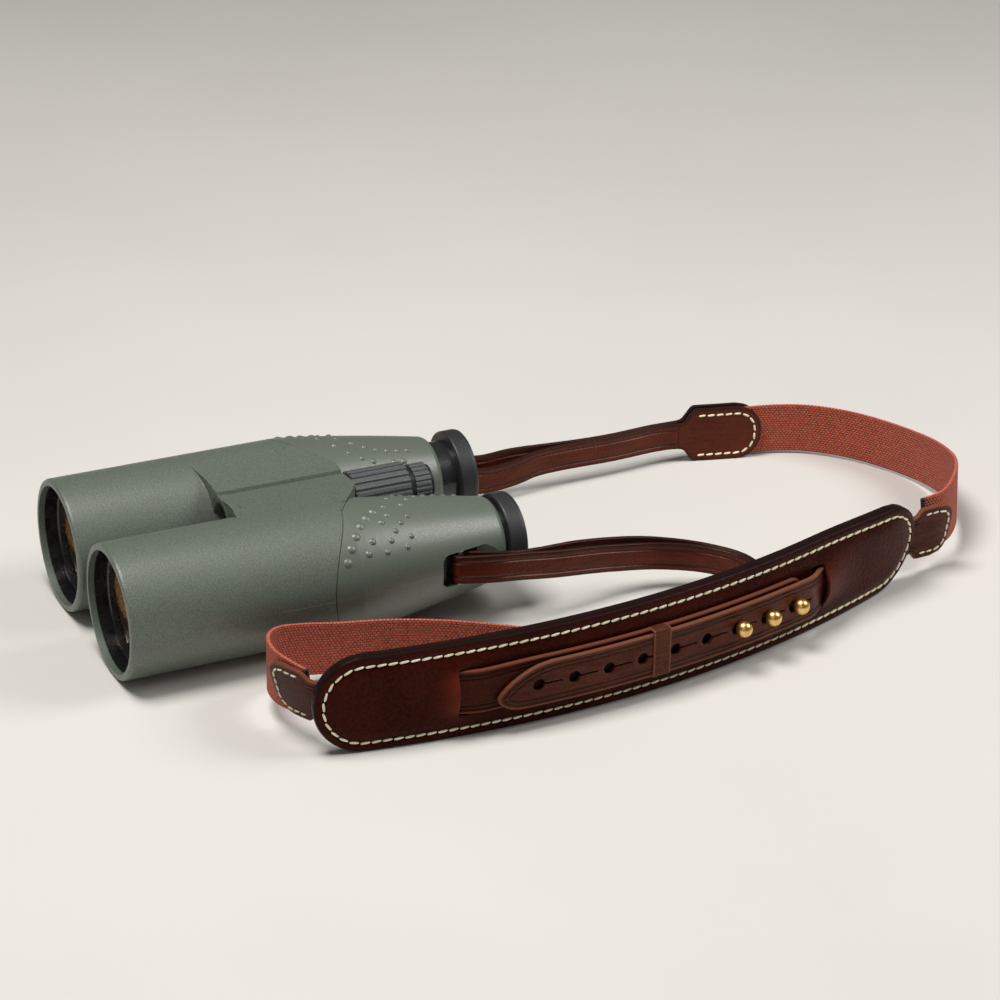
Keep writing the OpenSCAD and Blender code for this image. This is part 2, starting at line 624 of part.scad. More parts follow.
module lower_strap() {
  link = route([for (q = left_link) [q[0], q[1], pad_z]], 4);
  tail = [for (i = [0 : len(link) - 1]) let (x = i / (len(link) - 1))
          concat(link[i], [min(tab_w, pad_strap_w + (tab_w - pad_strap_w) * (1 - step(0.66, 0.84, x)))
                           * (i == 0 ? 0.55 : i == 1 ? 0.9 : 1)])];
  from = pad_s0 + 9;
  body = [for (i = [0 : 40]) let (s = from + (low_end - from) * i / 40)
          on_pad(s, deep_mid - 2.8 * (1 - step(from, from + 16, s))
                    + (low_mid - deep_mid) * step(slit_l - 2, slit_l + 18, s),
                 pad_strap_w * (i == 40 ? 0.6 : i == 39 ? 0.95 : 1))];
  color("sienna") difference() {
    band(concat(tail, body), strap_t);
    for (s = stud_s) pad_place(s, 0) rotate([0, 90, 0]) cylinder(r = 1.9, h = 12, $fn = 24);
  }
}

module upper_strap() {
  link = route(concat([on_pad(pad_s1 + 2, deep_mid, 0)], [for (q = right_link) [q[0], q[1], pad_z, 0]]), 4);
  tail = [for (i = [1 : len(link) - 1]) let (x = i / (len(link) - 1), k = len(link) - 1 - i)
          [link[i][0], link[i][1], link[i][2], (pad_strap_w + (tab_w - pad_strap_w) * step(0, 0.3, x))
           * (k == 0 ? 0.55 : k == 1 ? 0.9 : 1)]];
  body = [for (i = [0 : 44]) let (s = tip_s + (pad_s1 + 2 - tip_s) * i / 44, u = min(1, (s - tip_s) / 22))
          on_pad(s, deep_mid + (high_mid - deep_mid) * (1 - step(slit_r - 18, slit_r + 2, s)),
                 max(1.5, pad_strap_w * sqrt(u * (2 - u))))];
  color("sienna") difference() {
    band(concat(body, tail), strap_t);
    for (i = [-6 : 2]) pad_place(stud_0 + i * stud_pitch, 0) {
      rotate([0, 90, 0]) cylinder(r = 2.5, h = 12, $fn = 24);
      translate([0, 0, -0.3]) cube([12, 8.5, 0.6]);
    }
  }
}

module studs() {
  color("gold") for (s = stud_s) pad_place(s, 0) union() {
    translate([0.8, 0, 0]) rotate([0, 90, 0]) cylinder(r = 4, h = 0.8, $fn = 32);
    translate([0.8, 0, 0]) rotate([0, 90, 0]) cylinder(r = 1.7, h = high_mid + 4, $fn = 32);
    translate([high_mid + strap_t / 2 + stud_d / 2 - 0.5, 0, 0]) sphere(r = stud_d / 2, $fn = 40);
  }
}

keeper_s = 63;
module keeper_loop() {
  top = high_mid + strap_t / 2 + 0.4;
  color("sienna") pad_place(keeper_s, 0) difference() {
    translate([0.4, -5, -pad_strap_w / 2 - 1.8]) cube([top + 0.9, 10, pad_strap_w + 3.6]);
    translate([1.35, -6, -pad_strap_w / 2 - 0.5]) cube([top - 1.35, 12, pad_strap_w + 1]);
  }
}

web_t = 2;
module left_webbing() {
  p = route([for (i = [0 : len(left_web) - 1])
             [left_web[i][0], left_web[i][1], 14.5 + (pad_z - 14.5) * step(7, 12, i), webbing_w]], 4);
  color("peru") band(p, web_t);
}

module right_webbing() {
  p = route([for (i = [0 : len(right_web) - 1])
             [right_web[i][0], right_web[i][1], 14.5 + (pad_z - 14.5) * step(5, 9, i), webbing_w]], 4);
  color("peru") band(p, web_t);
}

// Strap folded round the bar in its barrel, both legs meet the webbing between two tabs
left_splay = [0.7, 1, 4, 9, 12, 20];
right_splay = [1.6, 2.2, 6, 13, 18, 27];
module lug_strap(side, run_points, n, splay) {
  bar = [side * (axis_x + bar_x), bar_y, axis_z];
  all_points = route(concat([bar], run_points), n);
  m = len(all_points) - 1;
  wrap = bar_r + 0.3 + leather_t / 2;
  close = leather_t / 2 + 0.15;
  open = leather_t / 2 + web_t / 2 + 0.2;
  tab_from = m - 2 * n;
  p = [for (i = [0 : m]) concat(all_points[i], [(lug_strap_w + (tab_w - lug_strap_w) * step(tab_from - 1.5, tab_from + 1.5, i))
                                                * (i == m ? 0.55 : i == m - 1 ? 0.9 : 1)])];
  apart = [for (i = [0 : m]) step(splay[2], splay[3], i) * (1 - step(splay[4], splay[5], i))];
  gap = [for (i = [0 : m]) wrap + (close - wrap) * step(0, n + 2, i) + (open - close) * step(tab_from - 3, tab_from, i)
                           + splay[0] * apart[i]];
  drop = [for (i = [0 : m]) [0, 0, splay[1] * apart[i], 0]];
  d = heading(p, 0);
  a0 = atan2(-d[0], d[1]);
  fold = [for (i = [1 : 9]) let (a = a0 - 180 * i / 10)
          [bar[0] + wrap * cos(a), bar[1] + wrap * sin(a), bar[2], lug_strap_w]];
  color("sienna") band(concat([for (i = [m : -1 : 0]) aside(p, i, gap[i]) - drop[i]], fold,
                              [for (i = [0 : m]) aside(p, i, -gap[i]) + drop[i]]), leather_t);
}

module left_housing() { color("gray") housing(1); }
module right_housing() { color("gray") housing(-1); }
module left_front_armour() { color("darkolivegreen") front_armour(1, 106); }
// Collar round the front of the hinge on the right wing, open below where the left barrel swings
module hinge_collar() {
  color("darkolivegreen") difference() {
    translate([0, 0, hinge_z]) union() {
      along_y(mid_y - 36.3, mid_y - 32.4) intersection() {
        difference() {
          circle(r = bridge_r - 0.1);
          circle(r = 8);
        }
        polygon(concat([[0, 0]], [for (i = [0 : 8]) let (a = 24 + 151 * i / 8) 30 * [cos(a), sin(a)]]));
      }
      along_y(mid_y - 32.9, mid_y - 32.1) intersection() {
        difference() {
          circle(r = bridge_r - 0.1);
          circle(r = wing_in);
        }
        polygon([[0, 0], 30 * [cos(116), sin(116)], 30 * [cos(146), sin(146)], 30 * [cos(175), sin(175)]]);
      }
    }
    barrel(-1) rod_y(barrel_r + glue, mid_y - 50, mid_y);
  }
}

module right_front_armour() { color("darkolivegreen") front_armour(-1, 67.5); }
module left_rear_armour() { color("darkolivegreen") rear_armour(1); }
module right_rear_armour() { color("darkolivegreen") rear_armour(-1); }
module left_objective_cell() { color("black") objective_cell(1); }
module right_objective_cell() { color("black") objective_cell(-1); }
module left_retaining_ring() { color("black") retaining_ring(1); }
module right_retaining_ring() { color("black") retaining_ring(-1); }
module left_objective_lens() { color("lightblue") objective_lens(1); }
module right_objective_lens() { color("lightblue") objective_lens(-1); }
module left_focus_carriage() { color("gray") focus_carriage(1); }
module right_focus_carriage() { color("gray") focus_carriage(-1); }
module left_focus_lens() { color("lightblue") focus_lens(1); }
module right_focus_lens() { color("lightblue") focus_lens(-1); }
module left_prism_holder() { color("gray") prism_holder(1); }
module right_prism_holder() { color("gray") prism_holder(-1); }
module left_prisms() { color("lightblue") prisms(1); }
module right_prisms() { color("lightblue") prisms(-1); }
module left_eyepiece_tube() { color("black") eyepiece_tube(1); }
module right_eyepiece_tube() { color("black") eyepiece_tube(-1); }
module left_eyepiece_lenses() { color("lightblue") eyepiece_lenses(1); }
module right_eyepiece_lenses() { color("lightblue") eyepiece_lenses(-1); }
module left_eyecup_guide() { color("dimgray") eyecup_guide(1); }
module right_eyecup_guide() { color("dimgray") eyecup_guide(-1); }
module left_eyecup_sleeve() { color("black") eyecup_sleeve(1); }
module right_eyecup_sleeve() { color("black") eyecup_sleeve(-1); }
module left_eyecup_rubber() { color("black") eyecup_rubber(1); }
module right_eyecup_rubber() { color("black") eyecup_rubber(-1); }
module left_strap_bar() { color("silver") strap_bar(1); }
module right_strap_bar() { color("silver") strap_bar(-1); }
module left_lug_strap() { lug_strap(1, left_run, 3, left_splay); }
module right_lug_strap() { lug_strap(-1, right_run, 4, right_splay); }

left_housing();
right_housing();
left_front_armour();
right_front_armour();
left_rear_armour();
right_rear_armour();
left_objective_cell();
right_objective_cell();
left_retaining_ring();
right_retaining_ring();
left_objective_lens();
right_objective_lens();
left_focus_carriage();
right_focus_carriage();
left_focus_lens();
right_focus_lens();
left_prism_holder();
right_prism_holder();
left_prisms();
right_prisms();
left_eyepiece_tube();
right_eyepiece_tube();
left_eyepiece_lenses();
right_eyepiece_lenses();
left_eyecup_guide();
right_eyecup_guide();
left_eyecup_sleeve();
right_eyecup_sleeve();
left_eyecup_rubber();
right_eyecup_rubber();
left_strap_bar();
right_strap_bar();
hinge_collar();
hinge_axle();
tripod_bush();
focus_shaft();
focus_wheel();
focus_grip();
dioptre_ring();
dioptre_cap();
pad_backing();
pad_panel();
lower_strap();
upper_strap();
studs();
keeper_loop();
left_webbing();
right_webbing();
left_lug_strap();
right_lug_strap();
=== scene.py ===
import math

import bmesh
import bpy
from mathutils import Matrix, Vector, kdtree


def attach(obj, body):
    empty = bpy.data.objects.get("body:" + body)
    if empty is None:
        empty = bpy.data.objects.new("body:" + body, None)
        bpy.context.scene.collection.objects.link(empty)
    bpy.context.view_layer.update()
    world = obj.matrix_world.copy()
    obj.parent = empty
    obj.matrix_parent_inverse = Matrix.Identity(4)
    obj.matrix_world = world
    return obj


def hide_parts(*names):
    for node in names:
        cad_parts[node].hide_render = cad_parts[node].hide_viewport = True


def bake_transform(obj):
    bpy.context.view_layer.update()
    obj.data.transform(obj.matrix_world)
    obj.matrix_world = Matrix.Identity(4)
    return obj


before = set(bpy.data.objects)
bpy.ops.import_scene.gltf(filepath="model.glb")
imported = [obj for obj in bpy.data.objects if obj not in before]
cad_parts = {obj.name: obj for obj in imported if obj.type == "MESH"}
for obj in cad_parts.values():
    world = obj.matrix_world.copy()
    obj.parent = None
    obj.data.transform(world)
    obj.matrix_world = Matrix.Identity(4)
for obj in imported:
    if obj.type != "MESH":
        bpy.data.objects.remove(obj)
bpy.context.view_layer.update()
scene = bpy.context.scene
scene.view_settings.view_transform = "Standard"
MM = 0.001


# Camera at the photograph's viewing angle
def set_camera(azimuth, elevation, roll, target, distance, lens):
    a, e = math.radians(azimuth), math.radians(elevation)
    back = Vector((math.sin(a) * math.cos(e), -math.cos(a) * math.cos(e), math.sin(e)))
    data = bpy.data.cameras.new("camera")
    data.lens, data.sensor_width, data.clip_start, data.clip_end = lens, 36.0, 0.05, 30.0
    camera = bpy.data.objects.new("camera", data)
    scene.collection.objects.link(camera)
    turn = back.to_track_quat("Z", "Y").to_matrix().to_4x4() @ Matrix.Rotation(math.radians(roll), 4, "Z")
    camera.matrix_world = Matrix.Translation(Vector(target) + back * distance) @ turn
    scene.camera = camera


set_camera(azimuth=64.715, elevation=26.063, roll=0.807, target=(-0.05733, 0.13504, 0.0), distance=1.72194,
           lens=122.4)


# Smooth step from 0 at a to 1 at b
def step(a, b, x):
    t = min(1.0, max(0.0, (x - a) / (b - a)))
    return t * t * (3 - 2 * t)


# Smooth curve through points, n places to each span
def through(points, n):
    p = [Vector(q) for q in points]
    m = len(p) - 1
    out = []
    for i in range(m):
        a, b, c, d = p[max(i - 1, 0)], p[i], p[i + 1], p[min(i + 2, m)]
        for j in range(n):
            t = j / n
            out.append(0.5 * (2 * b + (c - a) * t + (2 * a - 5 * b + 4 * c - d) * t * t
                              + (3 * b - a - 3 * c + d) * t ** 3))
    return out + [p[m]]


# Line that a piece is laid on. Its points are in millimetres, as the part's source has them
class Route:
    def __init__(self, points):
        self.p = [Vector(q) * MM for q in points]
        self.x = [0.0]
        for a, b in zip(self.p, self.p[1:]):
            self.x.append(self.x[-1] + (b - a).length)
        n = len(self.p)
        self.t = [(self.p[min(i + 1, n - 1)] - self.p[max(i - 1, 0)]).normalized() for i in range(n)]
        self.long = self.x[-1]

    def at(self, x):
        lo, hi = 0, len(self.x) - 2
        while lo < hi:
            mid = (lo + hi + 1) // 2
            lo, hi = (mid, hi) if self.x[mid] <= x else (lo, mid - 1)
        f = (x - self.x[lo]) / max(1e-9, self.x[lo + 1] - self.x[lo])
        g = min(1.0, max(0.0, f))
        return self.p[lo].lerp(self.p[lo + 1], f), self.t[lo].lerp(self.t[lo + 1], g).normalized()


# Flat work. A piece is cut flat, x along it, y across it and z through it, and then laid on its route
def cut(columns, lanes):
    bm = bmesh.new()
    bmesh.ops.create_grid(bm, x_segments=len(columns) - 1, y_segments=len(lanes) - 1, size=1.0)
    for v in bm.verts:
        i = round((v.co.x + 1) / 2 * (len(columns) - 1))
        j = round((v.co.y + 1) / 2 * (len(lanes) - 1))
        v.co = Vector((columns[i], lanes[j], 0.0))
    return bm


# Even places from a to b, about a pitch apart
def spread(a, b, pitch):
    n = max(1, round((b - a) / pitch))
    return [a + (b - a) * i / n for i in range(n + 1)]


# Lanes across a strap, close together by its edges
EDGE_LANES = (0.0, 0.9 * MM, 2.2 * MM)


def across(half, inner):
    side = [half - d for d in EDGE_LANES]
    mid = spread(-side[-1], side[-1], inner)[1:-1]
    return [-s for s in side] + mid + side[::-1]


# Gives a measure of how far a place is from the cut edge, in millimetres, leaving out the open ends
DOT_PITCH, SAME_PLACE = 0.4 * MM, 1e-6


def mark_edge(bm, open_ends=()):
    dots = []
    for e in bm.edges:
        if not e.is_boundary:
            continue
        a, b = (v.co.copy() for v in e.verts)
        if any(abs(a.x - q) < SAME_PLACE and abs(b.x - q) < SAME_PLACE for q in open_ends):
            continue
        n = max(1, math.ceil((b - a).length / DOT_PITCH))
        dots += [a.lerp(b, i / n) for i in range(n + 1)]
    tree = kdtree.KDTree(len(dots))
    for i, d in enumerate(dots):
        tree.insert((d.x, d.y, 0.0), i)
    tree.balance()
    return lambda co: tree.find((co.x, co.y, 0.0))[2] / MM


def faces_out(bm):
    bmesh.ops.recalc_face_normals(bm, faces=bm.faces[:])


def round_edges(bm, edges, offset, segments):
    bmesh.ops.bevel(bm, geom=edges, offset=offset, offset_type="OFFSET", segments=segments, profile=0.5,
                    affect="EDGES", clamp_overlap=True, material=-1)


RIM_ANGLE = 1.0


def rim_of(bm):
    return [e for e in bm.edges if len(e.link_faces) == 2 and e.calc_face_angle(0.0) > RIM_ANGLE]


# Gives a flat sheet its thickness about z = 0 and softens its rim
def thicken(bm, thick, soften):
    faces_out(bm)
    bmesh.ops.solidify(bm, geom=bm.faces[:], thickness=thick)
    z = [v.co.z for v in bm.verts]
    bmesh.ops.translate(bm, verts=bm.verts[:], vec=(0, 0, -(min(z) + max(z)) / 2))
    faces_out(bm)
    if soften:
        round_edges(bm, rim_of(bm), soften, segments=3)


def nowhere(co):
    return 0.0


def everywhere(co):
    return 1.0


# Writes the flat place as a UV map, and the edge distance, the tooling, the painted keyhole shade and the painted lip
# highlight as attributes
def note(bm, edge, tool=everywhere, keyhole_shade=nowhere, lip_highlight=nowhere):
    uv = bm.loops.layers.uv.new("cut")
    layers = [bm.verts.layers.float.new(k) for k in ("edge", "tool", "keyhole_shade", "lip_highlight")]
    for v in bm.verts:
        for layer, value in zip(layers, (edge, tool, keyhole_shade, lip_highlight)):
            v[layer] = value(v.co)
    for f in bm.faces:
        for loop in f.loops:
            loop[uv].uv = (loop.vert.co.x, loop.vert.co.y)


# Lays a flat piece on its route, moved across by its shift. It leans outward, in degrees, about a line at height foot
def lay(bm, route, lean=None, foot=0.0, shift=None):
    for v in bm.verts:
        x, y, z = v.co
        if shift:
            y += shift(x)
        p, t = route.at(x)
        side = Vector((t.y, -t.x, 0.0)).normalized()
        up = side.cross(t).normalized()
        a = math.radians(lean(x / MM)) if lean else 0.0
        rise = up * math.cos(a) + side * math.sin(a)
        out = side * math.cos(a) - up * math.sin(a)
        v.co = p + up * foot + rise * (y - foot) + out * z


# Lean that grows from nothing at a to its full degrees at b, both in millimetres along a route
def leaning(degrees, a, b):
    return lambda x: degrees * step(a, b, x)


def piece(name, bm, finish, body=None):
    mesh = bpy.data.meshes.new(name)
    bm.to_mesh(mesh)
    bm.free()
    for f in mesh.polygons:
        f.use_smooth = True
    mesh.materials.append(finish)
    o = bpy.data.objects.new(name, mesh)
    scene.collection.objects.link(o)
    if body:
        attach(o, body)
    return o


# Shader parts
def add(tree, kind, **settings):
    n = tree.nodes.new(kind)
    for key, value in settings.items():
        setattr(n, key, value)
    return n


def attribute(tree, name):
    return add(tree, "ShaderNodeAttribute", attribute_name=name).outputs["Fac"]


def flat_place(tree):
    return add(tree, "ShaderNodeUVMap", uv_map="cut").outputs["UV"]


def wire(tree, a, b):
    tree.links.new(a, b)


def apart(tree, vector):
    n = tree.nodes.new("ShaderNodeSeparateXYZ")
    wire(tree, vector, n.inputs[0])
    return n.outputs


def maths(tree, how, a, b=None):
    n = add(tree, "ShaderNodeMath", operation=how)
    for i, x in enumerate((a, b)):
        if x is None:
            continue
        if isinstance(x, (int, float)):
            n.inputs[i].default_value = x
        else:
            wire(tree, x, n.inputs[i])
    return n.outputs[0]


def times(tree, a, b):
    return maths(tree, "MULTIPLY", a, b)


def gap_to(tree, a, b):
    return maths(tree, "ABSOLUTE", maths(tree, "SUBTRACT", a, b))


# The colour sockets of a mix node share their names with its others, so they go by number
MIX_A, MIX_B, MIXED = 6, 7, 2


def blend_colour(tree, amount, a, b):
    n = add(tree, "ShaderNodeMix", data_type="RGBA")
    for socket, x in ((n.inputs["Factor"], amount), (n.inputs[MIX_A], a), (n.inputs[MIX_B], b)):
        if hasattr(x, "is_output"):
            wire(tree, x, socket)
        elif isinstance(x, (int, float)):
            socket.default_value = x
        else:
            socket.default_value = (*x, 1.0)
    return n.outputs[MIXED]


# Smooth step from a at low to b at high
def ramp(tree, value, low, high, a=0.0, b=1.0):
    n = add(tree, "ShaderNodeMapRange", interpolation_type="SMOOTHSTEP")
    n.inputs["From Min"].default_value, n.inputs["From Max"].default_value = low, high
    n.inputs["To Min"].default_value, n.inputs["To Max"].default_value = a, b
    wire(tree, value, n.inputs["Value"])
    return n.outputs["Result"]


def group(name, takes, gives):
    g = bpy.data.node_groups.new(name, "ShaderNodeTree")
    for label in takes:
        kind = "NodeSocketVector" if label == "Place" else "NodeSocketFloat"
        g.interface.new_socket(name=label, in_out="INPUT", socket_type=kind)
    for label in gives:
        g.interface.new_socket(name=label, in_out="OUTPUT", socket_type="NodeSocketFloat")
    return g, g.nodes.new("NodeGroupInput").outputs, g.nodes.new("NodeGroupOutput").inputs


def use(tree, g, **values):
    n = tree.nodes.new("ShaderNodeGroup")
    n.node_tree = g
    for key, value in values.items():
        key = key.replace("_", " ")
        if hasattr(value, "is_output"):
            wire(tree, value, n.inputs[key])
        else:
            n.inputs[key].default_value = value
    return n.outputs


# Pebbled grain of rubber and hide
grain, takes, gives = group("grain", ["Place", "Cells", "Cloud"], ["Height", "Tone"])
cells = add(grain, "ShaderNodeTexVoronoi", feature="SMOOTH_F1")
cells.inputs["Smoothness"].default_value = 0.6
fine, cloud = (add(grain, "ShaderNodeTexNoise") for i in range(2))
fine.inputs["Detail"].default_value, cloud.inputs["Detail"].default_value = 3.0, 4.0
for texture, scale in ((cells, "Cells"), (fine, "Cells"), (cloud, "Cloud")):
    wire(grain, takes["Place"], texture.inputs["Vector"])
    wire(grain, takes[scale], texture.inputs["Scale"])
pebble = maths(grain, "SUBTRACT", 1.0, cells.outputs["Distance"])
wire(grain, maths(grain, "ADD", times(grain, pebble, 0.6), times(grain, fine.outputs["Fac"], 0.4)), gives["Height"])
wire(grain, ramp(grain, cloud.outputs["Fac"], 0.3, 0.7), gives["Tone"])

# Two tooled lines a set way in from the cut edge, and the rim: a real burnished edge on some hides, a painted
# highlight on others
tooling, takes, gives = group("tooling", ["Edge", "On", "Line", "Second", "Width", "Rim"], ["Groove", "BurnishAndHighlight"])
offset = maths(tooling, "MINIMUM", *[gap_to(tooling, takes["Edge"], takes[k]) for k in ("Line", "Second")])
near = maths(tooling, "DIVIDE", offset, takes["Width"])
wire(tooling, times(tooling, ramp(tooling, near, 0.0, 1.0, 1.0, 0.0), takes["On"]), gives["Groove"])
wire(tooling, ramp(tooling, maths(tooling, "DIVIDE", takes["Edge"], takes["Rim"]), 0.35, 1.0, 1.0, 0.0),
     gives["BurnishAndHighlight"])

# Plain weave read from the flat cut. Its rows lie closer than its picks
ROW_TO_PICK = 0.68
weave, takes, gives = group("weave", ["Along", "Across", "Pitch"], ["Height", "Gap"])
rows = maths(weave, "DIVIDE", takes["Across"], times(weave, takes["Pitch"], ROW_TO_PICK))
picks = maths(weave, "ADD", maths(weave, "DIVIDE", takes["Along"], takes["Pitch"]),
              times(weave, maths(weave, "FLOOR", rows), 0.5))
waves = [maths(weave, "ABSOLUTE", maths(weave, "SINE", times(weave, k, math.pi))) for k in (picks, rows)]
knit = maths(weave, "POWER", times(weave, *waves), 0.6)
wire(weave, knit, gives["Height"])
wire(weave, ramp(weave, knit, 0.10, 0.70, 1.0, 0.0), gives["Gap"])


# New material with plain values on its shader
def finish_of(name, rough, **plain):
    m = bpy.data.materials.new(name)
    m.use_nodes = True
    tree = m.node_tree
    shader = next(n for n in tree.nodes if n.type == "BSDF_PRINCIPLED")
    shader.inputs["Roughness"].default_value = rough
    for key, value in plain.items():
        shader.inputs[key.replace("_", " ")].default_value = value
    place = tree.nodes.new("ShaderNodeTexCoord").outputs["Object"]
    return m, tree, shader, place


def relief(tree, shader, height, deep, strength):
    bump = tree.nodes.new("ShaderNodeBump")
    bump.inputs["Distance"].default_value = deep
    bump.inputs["Strength"].default_value = strength
    wire(tree, height, bump.inputs["Height"])
    wire(tree, bump.outputs["Normal"], shader.inputs["Normal"])


# Moulded rubber or satin paint: two near tones, grain and a roughness that drifts
def moulded(name, dark, light, rough, cells_per_m, deep, drift=0.08, cloud=45.0, **plain):
    m, tree, shader, place = finish_of(name, rough, **plain)
    g = use(tree, grain, Place=place, Cells=cells_per_m, Cloud=cloud)
    wire(tree, blend_colour(tree, g["Tone"], dark, light), shader.inputs["Base Color"])
    wire(tree, ramp(tree, g["Tone"], 0.0, 1.0, rough - drift, rough + drift), shader.inputs["Roughness"])
    relief(tree, shader, g["Height"], deep, strength=0.5)
    return m


# Green armour: fine pebble, pale speckle and the mould's parting line along each barrel's outer side
PART_Z, PART_HALF = 0.032, 0.00035
PART_X, PART_FRONT, PART_REAR = (0.050, 0.056), (-0.045, -0.025), (0.046, 0.049)
PART_TONE = (0.20, 0.22, 0.19)


def armour_finish(name, deep, dark, light, gloss):
    m, tree, shader, place = finish_of(name, rough=0.45, Specular_IOR_Level=gloss)
    g = use(tree, grain, Place=place, Cells=1400.0, Cloud=1500.0)
    wide = use(tree, grain, Place=place, Cells=900.0, Cloud=22.0)
    at = apart(tree, place)
    line = ramp(tree, gap_to(tree, at["Z"], PART_Z), 0.0, PART_HALF, 1.0, 0.0)
    line = times(tree, line, ramp(tree, maths(tree, "ABSOLUTE", at["X"]), *PART_X))
    line = times(tree, line, ramp(tree, at["Y"], *PART_FRONT))
    line = times(tree, line, ramp(tree, at["Y"], *PART_REAR, 1.0, 0.0))
    tone = blend_colour(tree, g["Tone"], dark, light)
    tone = blend_colour(tree, times(tree, wide["Tone"], 0.10), tone, light)
    tone = blend_colour(tree, times(tree, line, 0.35), tone, PART_TONE)
    wire(tree, tone, shader.inputs["Base Color"])
    wire(tree, ramp(tree, g["Tone"], 0.0, 1.0, 0.46, 0.37), shader.inputs["Roughness"])
    relief(tree, shader, maths(tree, "ADD", g["Height"], line), deep, strength=0.5)
    return m


# Black ribbed inside of an objective hood, ringed along the barrel
RIB_PITCH = 0.0013


def ribbed_finish():
    m, tree, shader, place = finish_of("ribbed_black", rough=0.26)
    g = use(tree, grain, Place=place, Cells=2600.0, Cloud=160.0)
    rings = maths(tree, "SINE", times(tree, apart(tree, place)["Y"], 2 * math.pi / RIB_PITCH))
    black = blend_colour(tree, g["Tone"], (0.005, 0.005, 0.006), (0.009, 0.009, 0.010))
    wire(tree, black, shader.inputs["Base Color"])
    wire(tree, ramp(tree, g["Tone"], 0.0, 1.0, 0.22, 0.32), shader.inputs["Roughness"])
    relief(tree, shader, rings, deep=0.00006, strength=0.3)
    return m


# Hide with cloudy and streaky dye, tooled lines, a rim tone, a painted highlight by the slit lips and painted shade
# under the keyholes
# The near-black here is painted shade, put on the lower strap where it shows down the upper strap's keyholes
SHINE_TINT, KEYHOLE_SHADE_BLACK = (1.0, 0.46, 0.33, 1.0), (0.006, 0.004, 0.004)


def leather(name, dark, light, line, second, width, rim_burnish_and_highlight, rough=0.37, rim=1.1, pebble=0.25, deep=0.0006,
            gloss=0.14, stretch=0.12):
    m, tree, shader, place = finish_of(name, rough, Specular_IOR_Level=gloss, Specular_Tint=SHINE_TINT)
    g = use(tree, grain, Place=place, Cells=760.0, Cloud=30.0)
    flat = apart(tree, flat_place(tree))
    along = tree.nodes.new("ShaderNodeCombineXYZ")
    wire(tree, times(tree, flat["X"], stretch), along.inputs["X"])
    wire(tree, flat["Y"], along.inputs["Y"])
    streak = use(tree, grain, Place=along.outputs[0], Cells=400.0, Cloud=480.0)
    edge, tool, keyhole_shade, lip_highlight = (attribute(tree, k) for k in ("edge", "tool", "keyhole_shade", "lip_highlight"))
    t = use(tree, tooling, Edge=edge, On=tool, Line=line, Second=second, Width=width, Rim=rim)
    tone = maths(tree, "ADD", times(tree, g["Tone"], 0.40), times(tree, streak["Tone"], 0.35))
    tone = maths(tree, "ADD", tone, ramp(tree, g["Height"], 0.35, 0.75, 0.0, 0.25))
    lip_highlight_tone, sunk = [c * 2.4 for c in light], [c * 0.32 for c in dark]
    hide = blend_colour(tree, tone, dark, light)
    # Painted highlight: lighter, redder tone by the slit lips
    hide = blend_colour(tree, times(tree, lip_highlight, 0.8), hide, lip_highlight_tone)
    hide = blend_colour(tree, times(tree, t["Groove"], 0.75), hide, sunk)
    # Rim tone: a real burnished edge on the pad and lugs, a painted highlight on the straps
    hide = blend_colour(tree, times(tree, t["BurnishAndHighlight"], 0.85), hide, rim_burnish_and_highlight)
    # Painted shade: near-black where the lower strap shows down the keyholes
    hide = blend_colour(tree, times(tree, keyhole_shade, 0.95), hide, KEYHOLE_SHADE_BLACK)
    wire(tree, hide, shader.inputs["Base Color"])
    wire(tree, ramp(tree, tone, 0.0, 1.0, rough + 0.08, rough - 0.06), shader.inputs["Roughness"])
    height = maths(tree, "SUBTRACT", times(tree, g["Height"], pebble), t["Groove"])
    relief(tree, shader, height, deep, strength=0.85)
    return m


front_armour = armour_finish("front_armour_rubber", deep=0.00020, gloss=0.8, dark=(0.068, 0.087, 0.067),
                             light=(0.130, 0.156, 0.126))
rear_armour = armour_finish("rear_armour_rubber", deep=0.00006, gloss=0.9, dark=(0.086, 0.106, 0.083),
                            light=(0.118, 0.141, 0.113))
ribbed_black = ribbed_finish()
black_rubber = moulded("black_rubber", (0.017, 0.017, 0.018), (0.026, 0.026, 0.028), rough=0.48, cells_per_m=1300.0,
                       deep=0.00008, cloud=1600.0)
grip_rubber = moulded("grip_rubber", (0.062, 0.065, 0.069), (0.092, 0.096, 0.101), rough=0.36, cells_per_m=1500.0,
                      deep=0.00005, cloud=1600.0, Specular_IOR_Level=0.9)
black_metal = moulded("black_metal", (0.010, 0.011, 0.012), (0.014, 0.015, 0.016), rough=0.28, cells_per_m=2600.0,
                      deep=0.00001, drift=0.02, cloud=1600.0, Specular_IOR_Level=0.8)
dark_bore = moulded("blackened_bore", (0.006, 0.006, 0.006), (0.010, 0.010, 0.010), rough=0.7, cells_per_m=2600.0,
                    deep=0.00003)
dark_housing = moulded("dark_housing", (0.020, 0.025, 0.019), (0.032, 0.039, 0.030), rough=0.5, cells_per_m=1800.0,
                       deep=0.00004, cloud=900.0)
steel = moulded("steel", (0.42, 0.42, 0.43), (0.52, 0.52, 0.53), rough=0.32, cells_per_m=900.0, deep=0.00002,
                Metallic=1.0)
